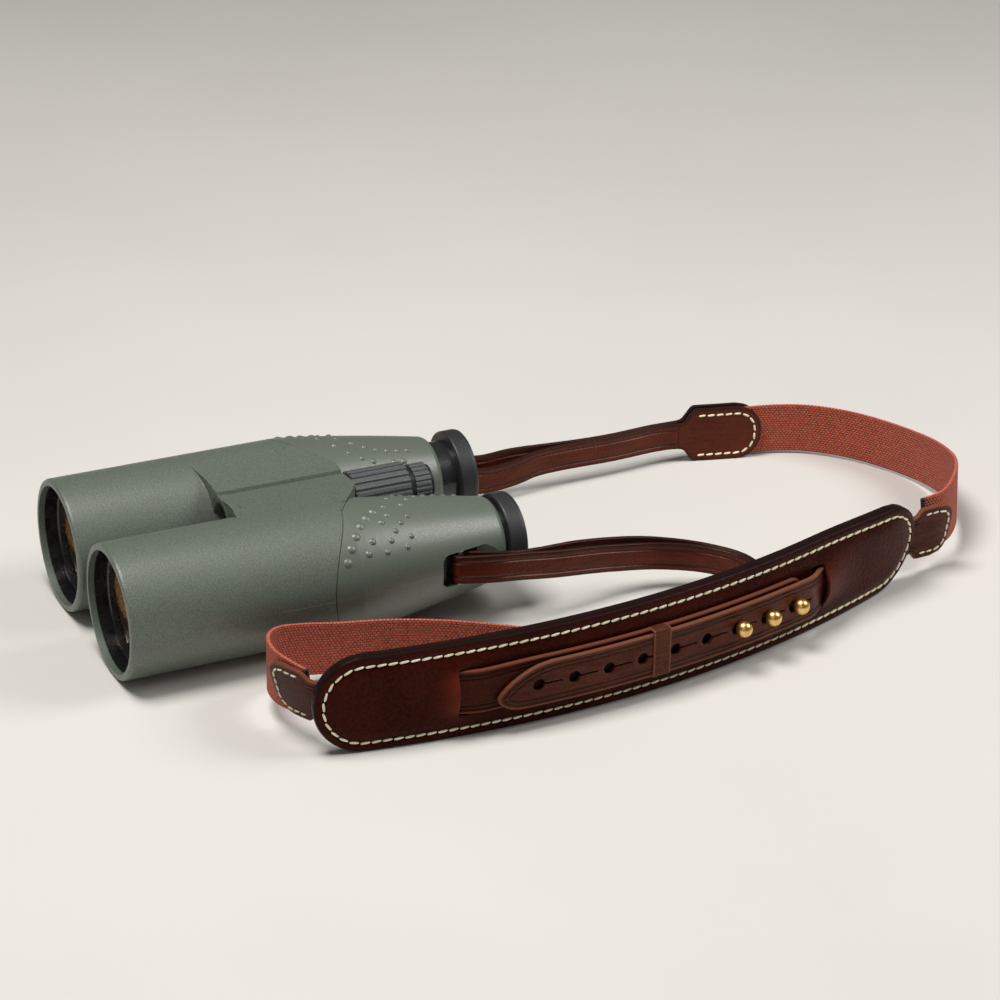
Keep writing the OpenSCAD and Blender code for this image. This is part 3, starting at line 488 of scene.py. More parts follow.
# Rim tone of each hide: a real dark burnished edge on the pad and the lugs, a painted highlight along the lit edges of
# the straps and the keeper
pad_hide = leather("pad_leather", (0.013, 0.0016, 0.0010), (0.058, 0.0088, 0.0048), line=4.6, second=4.6, width=1.4,
                   rim_burnish_and_highlight=(0.010, 0.006, 0.006), rough=0.36, rim=2.0, pebble=0.55, stretch=1.0, gloss=0.09)
strap_hide = leather("strap_leather", (0.036, 0.0100, 0.0058), (0.118, 0.0370, 0.0220), line=1.9, second=3.9,
                     width=0.8, rim_burnish_and_highlight=(0.175, 0.066, 0.039))
under_hide = leather("under_leather", (0.018, 0.0028, 0.0016), (0.070, 0.0130, 0.0072), line=1.9, second=3.9,
                     width=0.8, rim_burnish_and_highlight=(0.150, 0.048, 0.028))
lug_hide = leather("lug_leather", (0.036, 0.0052, 0.0024), (0.118, 0.0200, 0.0090), line=3.1, second=3.1, width=1.15,
                   rim_burnish_and_highlight=(0.012, 0.008, 0.008), rough=0.31, rim=1.7, deep=0.0010, gloss=0.4)


def brass_finish():
    m, tree, shader, place = finish_of("brass", rough=0.2, Metallic=1.0)
    g = use(tree, grain, Place=place, Cells=1400.0, Cloud=260.0)
    wire(tree, blend_colour(tree, g["Tone"], (0.70, 0.40, 0.12), (0.88, 0.57, 0.22)), shader.inputs["Base Color"])
    wire(tree, ramp(tree, g["Tone"], 0.0, 1.0, 0.36, 0.27), shader.inputs["Roughness"])
    relief(tree, shader, g["Height"], deep=0.00003, strength=0.3)
    return m


def coated_glass(name, tint, colour, bend):
    m, tree, shader, place = finish_of(name, rough=0.02, IOR=bend)
    shader.inputs["Transmission Weight"].default_value = 1.0
    shader.inputs["Specular Tint"].default_value = (*tint, 1.0)
    g = use(tree, grain, Place=place, Cells=300.0, Cloud=30.0)
    clear = [min(1.0, c * 1.06) for c in colour]
    wire(tree, blend_colour(tree, g["Tone"], colour, clear), shader.inputs["Base Color"])
    return m


# Woven band; its tool attribute marks the sealed end
def webbing_finish():
    m, tree, shader, place = finish_of("webbing", rough=0.86, Sheen_Weight=0.08, Sheen_Roughness=0.5,
                                       Specular_IOR_Level=0.25)
    flat = apart(tree, flat_place(tree))
    w = use(tree, weave, Along=flat["X"], Across=flat["Y"], Pitch=0.00185)
    g = use(tree, grain, Place=place, Cells=2600.0, Cloud=620.0)
    seal = attribute(tree, "tool")
    yarn = blend_colour(tree, g["Tone"], (0.44, 0.088, 0.048), (0.60, 0.132, 0.076))
    yarn = blend_colour(tree, times(tree, w["Gap"], 0.8), yarn, (0.12, 0.020, 0.012))
    yarn = blend_colour(tree, seal, yarn, (0.022, 0.016, 0.015))
    wire(tree, yarn, shader.inputs["Base Color"])
    height = maths(tree, "ADD", w["Height"], times(tree, g["Height"], 0.3))
    relief(tree, shader, height, deep=0.0007, strength=0.85)
    return m


def thread_finish():
    m, tree, shader, place = finish_of("thread", rough=0.7, Sheen_Weight=0.15)
    g = use(tree, grain, Place=place, Cells=2600.0, Cloud=210.0)
    wire(tree, blend_colour(tree, g["Tone"], (0.78, 0.66, 0.43), (0.96, 0.89, 0.71)), shader.inputs["Base Color"])
    relief(tree, shader, g["Height"], deep=0.0003, strength=0.6)
    return m


brass = brass_finish()
front_glass = coated_glass("coated_glass", tint=(1.0, 0.52, 0.25), colour=(0.95, 0.84, 0.70), bend=2.1)
eye_glass = coated_glass("eye_glass", tint=(0.62, 0.78, 1.0), colour=(0.90, 0.93, 0.95), bend=1.52)
webbing = webbing_finish()
thread = thread_finish()

# Neck pad's bend. Places s along it and r out from it are in millimetres, as in the part's source
PAD_X, PAD_Y, PAD_Z, PAD_R, PAD_W = -343.0, 52.0, 23.5, 497.0, 47.0
PAD_S0, PAD_S1, SLIT_L, SLIT_R = -101.0, 236.0, -36.0, 165.0
STUD_0, STUD_PITCH, TIP_S, KEEPER_S = 107.0, 17.7, -19.0, 63.0
ROUTE_S0, ROUTE_S1 = -120, 260
HIGH, DEEP = 5.4, -3.2


def on_pad(s, r):
    a = s / PAD_R
    return Vector((PAD_X + (PAD_R + r) * math.cos(a), PAD_Y + (PAD_R + r) * math.sin(a), PAD_Z))


pad_route = Route([on_pad(s, 0.0) for s in range(ROUTE_S0, ROUTE_S1 + 1, 2)])
pad_lean = leaning(9.0, 165.0, 245.0)


def pad_x(s):
    return (s - ROUTE_S0) * MM


# Webbing, in the shape of its route and sealed at its far end
WEB_HALF, WEB_THICK = 13.0 * MM, 2.0 * MM
SEAL_FROM, SEAL_TO = 3.0 * MM, 1.0 * MM


def webbing_piece(name, points, lean):
    route = Route(through(points, n=10))
    bm = cut(spread(0.0, route.long, pitch=2.5 * MM), across(WEB_HALF, inner=3.0 * MM))
    edge = mark_edge(bm)
    thicken(bm, WEB_THICK, soften=0.55 * MM)
    note(bm, edge, tool=lambda co: step(route.long - SEAL_FROM, route.long - SEAL_TO, co.x))
    lay(bm, route, lean)
    o = piece(name, bm, webbing, "left_barrel")
    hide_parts(name)
    return o, route


# Each rises from its tab to the pad's height between two of its points
WEB_LOW, WEB_LIFT, LEFT_RISE, RIGHT_RISE = 14.5, 9, (7, 12), (5, 9)
left_web = [(125.5, 136), (125.5, 120), (125.5, 104), (124, 88), (119, 70), (111, 58), (97, 37), (86, 14),
            (80.5, -11), (79.5, -27), (82.5, -39.5), (90, -47.5), (99.5, -51.2), (109.4, -51.2), (118.9, -48),
            (128.8, -43.3)]
right_web = [(-59.5, 258), (-55.5, 274), (-51.5, 290), (-44, 305.5), (-29, 321), (-9, 333), (16, 340), (39, 338),
             (58, 331), (74, 320.5), (84.2, 310.8), (89.2, 303), (91.7, 291.5)]
left_web = [(x, y, WEB_LOW + WEB_LIFT * step(*LEFT_RISE, i)) for i, (x, y) in enumerate(left_web)]
right_web = [(x, y, WEB_LOW + WEB_LIFT * step(*RIGHT_RISE, i)) for i, (x, y) in enumerate(right_web)]
left_webbing, left_web_route = webbing_piece("left_webbing", left_web, leaning(16.0, 215, 262))
right_webbing, right_web_route = webbing_piece("right_webbing", right_web, leaning(9.0, 150, 215))

# Straps at the barrels, folded round a bar, both legs sewn to the webbing between two tabs
LEATHER, SOFT = 2.2, 0.5 * MM
TAB, TONGUE, TAB_HALF, TAB_ROUND = 36.0, 8.0, 14.5, 13.0
TAB_NECK, TAB_NECK_LONG, TAB_INSET, TAB_EASE, TAB_SEWN = 27.0, 7.5, 3.4, 26.0, 26.0
LUG_HALF, BAR_X, BAR_Y, BAR_Z, BAR_R = 7.0, 58.85, 60.0, 32.0, 1.6
BAR_GAP, LEG_GAP, HALF_WEB, WEB_GAP = 0.3, 0.15, 1.0, 0.2
MEET_BY, SPLIT_FROM, SPLIT_BY, FOLD_PARTS = 1.6, 2.8, 2, 24


# Gives the route of both legs and the fold, and the line between the legs, with n places to each span of the run.
# The legs meet behind the bar and split again for the webbing, at spans from the run's ends. Between, they splay
# sideways by widen and in height by dip. Where that opens and shuts is counted at a rate to each span
def lug_route(side, run, n, widen, dip, opens, shuts, rate):
    bar = Vector((side * BAR_X, BAR_Y, BAR_Z))
    p = through([bar, *run], n)
    m = len(p) - 1
    wrap, close, sewn = BAR_R + BAR_GAP + LEATHER / 2, LEATHER / 2 + LEG_GAP, LEATHER / 2 + HALF_WEB + WEB_GAP
    head = []
    for i in range(m + 1):
        d = p[min(i + 1, m)] - p[max(i - 1, 0)]
        head.append(Vector((d.x, d.y, 0)).normalized())
    legs = ([], [])
    for i in range(m + 1):
        k = i * rate / n
        open_by = step(*opens, k) * (1 - step(*shuts, k))
        meet, split = step(0, n * MEET_BY, i), step(m - SPLIT_FROM * n, m - SPLIT_BY * n, i)
        gap = wrap + (close - wrap) * meet + (sewn - close) * split + widen * open_by
        right = Vector((head[i].y, -head[i].x, 0))
        drop = Vector((0, 0, dip * open_by))
        legs[0].append(p[i] + right * gap - drop)
        legs[1].append(p[i] - right * gap + drop)
    a0 = math.atan2(-head[0].x, head[0].y)
    turns = [a0 - math.pi * i / FOLD_PARTS for i in range(1, FOLD_PARTS)]
    fold = [bar + wrap * Vector((math.cos(a), math.sin(a), 0)) for a in turns]
    return Route(legs[1][::-1] + fold[::-1] + legs[0]), Route(p)


# Half width of a strap that widens to a tab, x from the tab's round end
def tab_half(x, tab, neck, start, long):
    return tab + (neck - tab) * step(start, start + long, x)


# Rounds the corners of an end at x0 to radius r, easing out over a zone
def round_end(bm, half, r, zone, x0=0.0, way=1.0):
    for v in bm.verts:
        y = max(0.0, abs(v.co.y) - (half - r))
        d = (v.co.x - x0) * way
        if d < zone:
            v.co.x += way * (r - math.sqrt(max(0.0, r * r - y * y))) * (1 - d / zone)


# Row of sewn stitches along a flat line, each a little slanted and blunt at its ends
SLANT, BLUNT, PROUD = 0.1, 0.55, 0.15 * MM


def stitch_row(bm, line, z, pitch, long, thick):
    x = [0.0]
    for a, b in zip(line, line[1:]):
        x.append(x[-1] + math.dist(a, b))
    n = max(1, round(x[-1] / pitch))
    k = 0
    for i in range(n):
        at = (i + 0.5) * x[-1] / n
        while x[k + 1] < at and k < len(x) - 2:
            k += 1
        f = (at - x[k]) / max(1e-9, x[k + 1] - x[k])
        a, b = line[k], line[k + 1]
        turn = math.atan2(b[1] - a[1], b[0] - a[0]) + SLANT
        place = Matrix.Translation((a[0] + (b[0] - a[0]) * f, a[1] + (b[1] - a[1]) * f, z))
        place = place @ Matrix.Rotation(turn, 4, "Z") @ Matrix.Rotation(math.pi / 2, 4, "Y")
        made = bmesh.ops.create_uvsphere(bm, u_segments=8, v_segments=6, radius=1.0)["verts"]
        for v in made:
            v.co.z = math.copysign(abs(v.co.z) ** BLUNT, v.co.z)
        bmesh.ops.transform(bm, matrix=place @ Matrix.Diagonal((thick / 2, thick / 2, long / 2, 1.0)), verts=made)


def arc(cx, cy, r, a, b, n=10):
    turns = [math.radians(a + (b - a) * i / n) for i in range(n + 1)]
    return [(cx + r * math.cos(t), cy + r * math.sin(t)) for t in turns]


# Stitch line round a tab's end, open towards the strap
def u_line(inset, half, r, x_open):
    q = r - inset
    h = half - inset
    line = [(x_open, h)] + arc(r, half - r, q, 90, 180) + arc(r, -(half - r), q, 180, 270) + [(x_open, -h)]
    return [(x * MM, y * MM) for x, y in line]


def lug_strap(side, name, run, **splay):
    route, middle = lug_route(side, run, **splay)
    tab, wide = TAB * MM, TAB_HALF * MM
    body = "left_barrel"
    bm = cut(spread(tab, route.long - tab, pitch=2.2 * MM), across(LUG_HALF * MM, inner=2.4 * MM))
    edge = mark_edge(bm, (tab, route.long - tab))
    thicken(bm, LEATHER * MM, SOFT)
    note(bm, edge)
    lay(bm, route)
    strap = piece(name + "_lug_strap", bm, lug_hide, None)
    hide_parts(name + "_lug_strap")
    on_strap = []
    for end in (0, 1):
        bm = cut(spread(-TONGUE * MM, tab, pitch=1.5 * MM), across(wide, inner=2.0 * MM))
        round_end(bm, wide, TAB_ROUND * MM, zone=TAB_EASE * MM, x0=-TONGUE * MM)
        for v in bm.verts:
            v.co.y *= tab_half(v.co.x / MM, TAB_HALF, LUG_HALF, TAB_NECK, TAB_NECK_LONG) / TAB_HALF
        edge = mark_edge(bm, (tab,))
        thicken(bm, LEATHER * MM, SOFT)
        note(bm, edge, tool=nowhere)
        sewn = bmesh.new()
        u = u_line(TAB_INSET, TAB_HALF, TAB_ROUND, TAB_SEWN + TONGUE)
        stitch_row(sewn, [(x - TONGUE * MM, y) for x, y in u], LEATHER / 2 * MM + PROUD, pitch=4.6 * MM,
                   long=3.7 * MM, thick=1.15 * MM)
        for b in (bm, sewn):
            if end:
                for v in b.verts:
                    v.co.x, v.co.y = route.long - v.co.x, -v.co.y
            lay(b, route)
        leaf = piece("%s_lug_tab_%s" % (name, "ab"[end]), bm, lug_hide, body)
        row = piece("%s_lug_stitching_%s" % (name, "ab"[end]), sewn, thread, body)
        on_strap += [leaf, row]
    return strap, middle, on_strap


left_run = [(64.5, 78, 31.3), (63, 100, 28), (60, 122, 25), (57.5, 142, 21.5), (58.5, 162, 18.5), (66, 182, 16),
            (79, 195, 15), (92, 199, 14.5), (104, 196, 14.5), (114, 188, 14.5), (121, 176, 14.5), (125, 163, 14.5),
            (125.5, 150, 14.5), (125.5, 136, 14.5), (125.5, 120, 14.5)]
right_run = [(-64.5, 78, 30), (-63.5, 96, 23.5), (-61.5, 112, 17.5), (-60.3, 126, 14.8), (-60.8, 144, 15.6),
             (-61.7, 160, 16.2), (-62.5, 198, 15), (-64.5, 226, 14.7), (-63, 244, 14.5), (-59.5, 258, 14.5),
             (-55.5, 274, 14.5)]
left_strap, left_middle, left_on = lug_strap(1, "left", left_run, n=8, widen=0.7, dip=1.0, opens=(4, 9),
                                             shuts=(12, 20), rate=3)
right_strap, right_middle, right_on = lug_strap(-1, "right", right_run, n=8, widen=1.6, dip=2.2, opens=(6, 13),
                                                shuts=(18, 27), rate=4)
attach(left_strap, "left_barrel")
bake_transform(right_strap)


# Takes places every 3 mm along so much of a strap's route; nothing is done with them
def declare(route, long):
    path = [tuple(route.at(x)[0]) for x in spread(0.0, long, pitch=3.0 * MM)]


declare(left_web_route, left_web_route.long)
declare(right_web_route, right_web_route.long)
declare(left_middle, left_middle.long - TAB * MM)
declare(right_middle, right_middle.long - TAB * MM)

# Pad straps. The lower one comes from the left connector, the upper one runs to the right connector
left_link = [(110.5, -53.5), (120, -50.3), (130, -45.6), (136.5, -41.6)]
right_link = [(94.2, 291), (93.5, 297.5), (91.5, 303.5)]
LINK_S, STRAP_HALF, STUDS, HOLES_FREE, PAST_STUD = -92, 10.5, 3, 6, 5.0
END_HALF, END_ROUND, END_INSET = 14.5, 10.0, 3.2


# How far out from the pad's bend each strap runs at a place s, in millimetres
def lower_r(s):
    return DEEP - 2.8 * (1 - step(LINK_S, -76, s)) + 3.0 * step(-66, -38, s) + 3.1 * step(-40, -24, s)


def upper_r(s):
    return HIGH - 5.0 * step(152, 169, s) - 3.6 * step(167, 192, s)


low_end = STUD_0 + (STUDS - 1) * STUD_PITCH + PAST_STUD
lower_points = through([(x, y, PAD_Z) for x, y in left_link] + [tuple(on_pad(LINK_S, lower_r(LINK_S)))], n=8)
lower_points = lower_points[:-1] + [on_pad(s, lower_r(s)) for s in spread(LINK_S, low_end, pitch=2.0)]
lower_route = Route(lower_points)
upper_points = [on_pad(s, upper_r(s)) for s in spread(TIP_S, PAD_S1 + 2, pitch=2.0)]
upper_points += through([tuple(upper_points[-1])] + [(x, y, PAD_Z) for x, y in right_link], n=8)[1:]
upper_route = Route(upper_points)


def hole_places():
    return [(STUD_0 + i * STUD_PITCH - TIP_S) * MM for i in range(-HOLES_FREE, STUDS)]


def workpiece(name, bm):
    mesh = bpy.data.meshes.new(name)
    bm.to_mesh(mesh)
    o = bpy.data.objects.new(name, mesh)
    scene.collection.objects.link(o)
    return o


# Punches keyholes through a flat strap: a round hole with a slit beside it
HOLE_R, HOLE_DEEP, SLIT_LONG, SLIT_WIDE, SLIT_OFF = 2.9 * MM, 8 * MM, 9.4 * MM, 1.0 * MM, 7.0 * MM


def punch(bm):
    holes, slits = bmesh.new(), bmesh.new()
    for x in hole_places():
        bmesh.ops.create_cone(holes, cap_ends=True, segments=28, radius1=HOLE_R, radius2=HOLE_R, depth=HOLE_DEEP,
                              matrix=Matrix.Translation((x, 0, 0)))
        bmesh.ops.create_cube(slits, size=1.0, matrix=Matrix.Translation((x + SLIT_OFF, 0, 0))
                              @ Matrix.Diagonal((SLIT_LONG, SLIT_WIDE, HOLE_DEEP, 1.0)))
    blank = workpiece("blank", bm)
    tools = []
    for label, tool_bm in (("punch", holes), ("slitter", slits)):
        tools.append(workpiece(label, tool_bm))
        tool_bm.free()
        cutter = blank.modifiers.new(label, "BOOLEAN")
        cutter.operation, cutter.solver, cutter.object = "DIFFERENCE", "EXACT", tools[-1]
    bpy.context.view_layer.update()
    done = blank.evaluated_get(bpy.context.evaluated_depsgraph_get()).to_mesh()
    bm.clear()
    bm.from_mesh(done)
    for o in [blank, *tools]:
        data = o.data
        bpy.data.objects.remove(o)
        bpy.data.meshes.remove(data)


def end_stitches(bm, line):
    stitch_row(bm, line, LEATHER / 2 * MM + PROUD, pitch=4.2 * MM, long=3.3 * MM, thick=1.0 * MM)


# Lower strap, with its tab at the left connector. It is painted near-black where the upper strap covers it, as painted
# shade seen down the keyholes
KEYHOLE_SHADE_PAST_TIP, KEYHOLE_SHADE_FADE, KEYHOLE_SHADE_IN, KEYHOLE_SHADE_OUT = 14, 6 * MM, 6.5 * MM, 8.5 * MM
long = lower_route.long
link_long = long - (low_end - LINK_S) * MM
covered = link_long + (TIP_S - LINK_S + KEYHOLE_SHADE_PAST_TIP) * MM
bm = cut(spread(0.0, long, pitch=2.2 * MM), across(END_HALF * MM, inner=2.6 * MM))
round_end(bm, END_HALF * MM, END_ROUND * MM, zone=22.0 * MM)
for v in bm.verts:
    v.co.y *= tab_half(v.co.x / MM, END_HALF, STRAP_HALF, start=19.5, long=5.5) / END_HALF
round_end(bm, STRAP_HALF * MM, r=5.0 * MM, zone=12.0 * MM, x0=long, way=-1.0)
edge = mark_edge(bm)
thicken(bm, LEATHER * MM, SOFT)
note(bm, edge, tool=lambda co: step(20 * MM, 30 * MM, co.x),
     keyhole_shade=lambda co: step(covered, covered + KEYHOLE_SHADE_FADE, co.x) * (1 - step(KEYHOLE_SHADE_IN, KEYHOLE_SHADE_OUT, abs(co.y))))
sewn = bmesh.new()
end_stitches(sewn, u_line(END_INSET, END_HALF, END_ROUND, 19.0))
for b in (bm, sewn):
    lay(b, lower_route, lambda x: 16.0 * (1 - step(18, 60, x)), shift=lambda x: 1.3 * MM * step(0.09, 0.13, x))
lower_strap = piece("lower_strap", bm, under_hide, "left_barrel")
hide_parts("lower_strap")
lower_stitching = piece("lower_tab_stitching", sewn, thread, "left_barrel")

# Upper strap with its pointed end, whose point is low, and keyholes
long = upper_route.long
strap_half = STRAP_HALF * MM
POINT_Y, POINT_ZONE, REACH_UP, REACH_DOWN, POINT_POWER = -4.5 * MM, 56 * MM, 27 * MM, 11 * MM, 0.7
bm = cut(spread(0.0, long, pitch=2.2 * MM), across(strap_half, inner=2.4 * MM))
for v in bm.verts:
    x, y = v.co.x, v.co.y
    if x < POINT_ZONE:
        over = y - POINT_Y
        side, reach = (strap_half - POINT_Y, REACH_UP) if over > 0 else (strap_half + POINT_Y, REACH_DOWN)
        curve = 1 - math.sqrt(max(0.0, 1 - (over / side) ** 2))
        v.co.x += reach * curve ** POINT_POWER * (1 - x / POINT_ZONE)
    v.co.y *= tab_half((long - x) / MM, END_HALF, STRAP_HALF, start=19.0, long=3.5) / STRAP_HALF
round_end(bm, END_HALF * MM, END_ROUND * MM, zone=16 * MM, x0=long, way=-1.0)
edge = mark_edge(bm)
thicken(bm, LEATHER * MM, SOFT)
punch(bm)
note(bm, edge, tool=lambda co: 1 - step(long - 24 * MM, long - 16 * MM, co.x))
sewn = bmesh.new()
end_stitches(sewn, [(long - x, y) for x, y in u_line(END_INSET, END_HALF, END_ROUND, 17.5)])
for b in (bm, sewn):
    lay(b, upper_route, lambda x: pad_lean(x + TIP_S), foot=-PAD_W / 2 * MM, shift=lambda x: -0.7 * MM)
upper_strap = piece("upper_strap", bm, strap_hide, "left_barrel")
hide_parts("upper_strap")
upper_stitching = piece("upper_tab_stitching", sewn, thread, "left_barrel")
declare(lower_route, lower_route.long)
declare(upper_route, upper_route.long)

# Neck pad: a panel with two raised ends over a stuffed backing, with a sewn channel all round
PAD_LONG = PAD_S1 - PAD_S0
pad_half = PAD_W / 2 * MM
END_ZONE, END_POWER = 62.0 * MM, 1.6
PANEL_THICK, BACKING_THICK, BACKING_Z, BACKING_FULL = 1.6 * MM, 3.6 * MM, -3.75 * MM, 0.9 * MM
SEWN_IN, SLIT_HALF, SLIT_OPEN, LIP_LEFT, LIP_RIGHT, AT_LIP = 4.6, 10.8, 7, 4.4, 5.8, 0.01
RIM_WIDE, RIM_DROP, CHANNEL_WIDE, CHANNEL_DEEP, CROWN = 2.4, 1.7, 0.9, 0.6, 0.9
LIFT_LEFT, LIFT_RIGHT, LIFT_FALL, LIP_HIGHLIGHT_LEFT, LIP_HIGHLIGHT_RIGHT, STITCH_RISE = 18, 30, 11, 6.0, 12.0, 0.25
LANES = [0.0, 1.5, 3.0, 4.5, 6.0, 7.5, 9.0, 10.1, 10.8, 11.7, 13.0, 14.2, 15.4, 16.5, 17.4, 18.2, 18.9, 19.6, 20.4,
         21.2, 22.0, 22.6, 23.1, 23.5]


# Rounds both ends of the pad to half its width
def pad_round(bm):
    r = pad_half
    for v in bm.verts:
        off = r - math.sqrt(max(0.0, r * r - v.co.y * v.co.y))
        a, b = v.co.x, PAD_LONG * MM - v.co.x
        if a < END_ZONE:
            v.co.x += off * (1 - a / END_ZONE) ** END_POWER
        elif b < END_ZONE:
            v.co.x -= off * (1 - b / END_ZONE) ** END_POWER


def pad_lanes():
    return [-y * MM for y in LANES[:0:-1]] + [y * MM for y in LANES]


# Columns lie closer at the pad's ends and by its slits
def pad_columns():
    l, r = SLIT_L - PAD_S0, SLIT_R - PAD_S0
    c = spread(0, 4, 0.7)[:-1] + spread(4, l - 4, 1.8)[:-1] + spread(l - 4, l + 16, 1.0)[:-1]
    c += spread(l + 16, r - 16, 2.2)[:-1] + spread(r - 16, r + 4, 1.0)[:-1] + spread(r + 4, PAD_LONG - 4, 1.8)[:-1]
    return [x * MM for x in c + spread(PAD_LONG - 4, PAD_LONG, 0.7)]


# Height of the panel's face over the pad's own bend, in millimetres
def panel_rise(x, y, e):
    s = x / MM + PAD_S0
    v = abs(y) / MM
    rim = max(0.0, 1 - e / RIM_WIDE)
    z = -RIM_DROP * (1 - math.sqrt(max(0.0, 1 - rim * rim)))
    z -= CHANNEL_DEEP * math.exp(-((e - SEWN_IN) / CHANNEL_WIDE) ** 2)
    z += CROWN * step(5.0, 10.0, e)
    over = 1 - step(1.0, 17.0, v)
    in_slit = v < SLIT_HALF + 0.05
    left = min(1.0, max(0.0, (s - SLIT_L + LIFT_LEFT) / LIFT_LEFT)) ** 2
    right = min(1.0, max(0.0, (SLIT_R + LIFT_RIGHT - s) / LIFT_RIGHT)) ** 1.6
    left *= float(s <= SLIT_L + AT_LIP) if in_slit else 1 - step(SLIT_L - 2, SLIT_L + LIFT_FALL, s)
    right *= float(s >= SLIT_R - AT_LIP) if in_slit else 1 - step(-SLIT_R - 2, -SLIT_R + LIFT_FALL, -s)
    return z + over * max(LIP_LEFT * left, LIP_RIGHT * right)


# How much painted highlight the hide gets by the lips of the slits, where the raised lip catches the light
def painted_lip_highlight(co):
    s = co.x / MM + PAD_S0
    by = math.exp(-((s - SLIT_L) / LIP_HIGHLIGHT_LEFT) ** 2) if s <= SLIT_L + AT_LIP else 0.0
    by = max(by, 0.5 * math.exp(-((s - SLIT_R) / LIP_HIGHLIGHT_RIGHT) ** 2) if s >= SLIT_R - AT_LIP else 0.0)
    return by * (1 - step(6.0, 14.0, abs(co.y) / MM))


bm = cut(pad_columns(), pad_lanes())
slit = []
for f in bm.faces:
    c = f.calc_center_median()
    s = c.x / MM + PAD_S0
    if abs(c.y) < SLIT_HALF * MM and (SLIT_L < s < SLIT_L + SLIT_OPEN or SLIT_R - SLIT_OPEN < s < SLIT_R):
        slit.append(f)
outline_bm = cut(pad_columns(), pad_lanes())
pad_round(outline_bm)
pad_edge = mark_edge(outline_bm)
outline_bm.free()
bmesh.ops.delete(bm, geom=slit, context="FACES")
pad_round(bm)
heights = {v.index: panel_rise(v.co.x, v.co.y, pad_edge(v.co)) for v in bm.verts}
for v in bm.verts:
    v.co.z = heights[v.index] * MM
faces_out(bm)
if sum(f.normal.z for f in bm.faces) < 0:
    bmesh.ops.reverse_faces(bm, faces=bm.faces[:])
bmesh.ops.solidify(bm, geom=bm.faces[:], thickness=PANEL_THICK)
faces_out(bm)
note(bm, pad_edge, lip_highlight=painted_lip_highlight)


def on_bend(b):
    bmesh.ops.translate(b, verts=b.verts[:], vec=(pad_x(PAD_S0), 0, 0))
    lay(b, pad_route, lambda x: pad_lean(x + ROUTE_S0), foot=-pad_half)


on_bend(bm)
pad_panel = piece("pad_panel", bm, pad_hide, "left_barrel")
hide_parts("pad_panel")


# Every other place, and always the last
def every_other(places):
    return places[::2] + places[-1:] * (len(places) % 2 == 0)


bm = cut(every_other(pad_columns()), every_other(pad_lanes()))
pad_round(bm)
thicken(bm, BACKING_THICK, soften=0.9 * MM)
note(bm, pad_edge)
for v in bm.verts:
    e = pad_edge(v.co)
    v.co.z += BACKING_Z - (BACKING_FULL * step(3.0, 12.0, e) if v.co.z < 0 else 0.0)
on_bend(bm)
pad_backing = piece("pad_backing", bm, pad_hide, "left_barrel")
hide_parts("pad_backing")

sewn = bmesh.new()
r = PAD_W / 2 - SEWN_IN
line = [(PAD_LONG / 2, -r)] + arc(PAD_LONG - PAD_W / 2, 0, r, -90, 90, n=40) + arc(PAD_W / 2, 0, r, 90, 270, n=40)
line.append((PAD_LONG / 2, -r))
stitch_row(sewn, [(x * MM, y * MM) for x, y in line], 0.0, pitch=5.1 * MM, long=4.6 * MM, thick=1.25 * MM)
for v in sewn.verts:
    v.co.z += (panel_rise(v.co.x, v.co.y, pad_edge(v.co)) + STITCH_RISE) * MM
on_bend(sewn)
piece("pad_stitching", sewn, thread, "left_barrel")

# Keeper round both straps, a squared ring of thin leather
KEEPER_LONG, KEEPER_ACROSS, KEEPER_TALL, KEEPER_MID, KEEPER_SQUARE = 4.6, 11.9, 3.15, 4.05, 12
bm = bmesh.new()
bmesh.ops.create_circle(bm, cap_ends=False, segments=48, radius=1.0)
for v in bm.verts:
    a = math.atan2(v.co.y, v.co.x)
    c, s = math.cos(a), math.sin(a)
    q = (abs(c) ** KEEPER_SQUARE + abs(s) ** KEEPER_SQUARE) ** (-1 / KEEPER_SQUARE)
    v.co = Vector((-KEEPER_LONG * MM, KEEPER_ACROSS * MM * q * c, (KEEPER_MID + KEEPER_TALL * q * s) * MM))
made = bmesh.ops.extrude_edge_only(bm, edges=bm.edges[:])["geom"]
bmesh.ops.translate(bm, verts=[g for g in made if isinstance(g, bmesh.types.BMVert)], vec=(2 * KEEPER_LONG * MM, 0, 0))
long_edges = [e for e in bm.edges if abs(e.verts[0].co.x - e.verts[1].co.x) > KEEPER_LONG * MM]
bmesh.ops.subdivide_edges(bm, edges=long_edges, cuts=6)
faces_out(bm)
bmesh.ops.solidify(bm, geom=bm.faces[:], thickness=1.0 * MM)
faces_out(bm)
round_edges(bm, rim_of(bm), offset=0.25 * MM, segments=2)
note(bm, lambda co: KEEPER_LONG - abs(co.x) / MM, tool=nowhere)
bmesh.ops.translate(bm, verts=bm.verts[:], vec=(pad_x(KEEPER_S), 0, 0))
lay(bm, pad_route)
keeper = piece("keeper_loop", bm, strap_hide, "keeper")
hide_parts("keeper_loop")

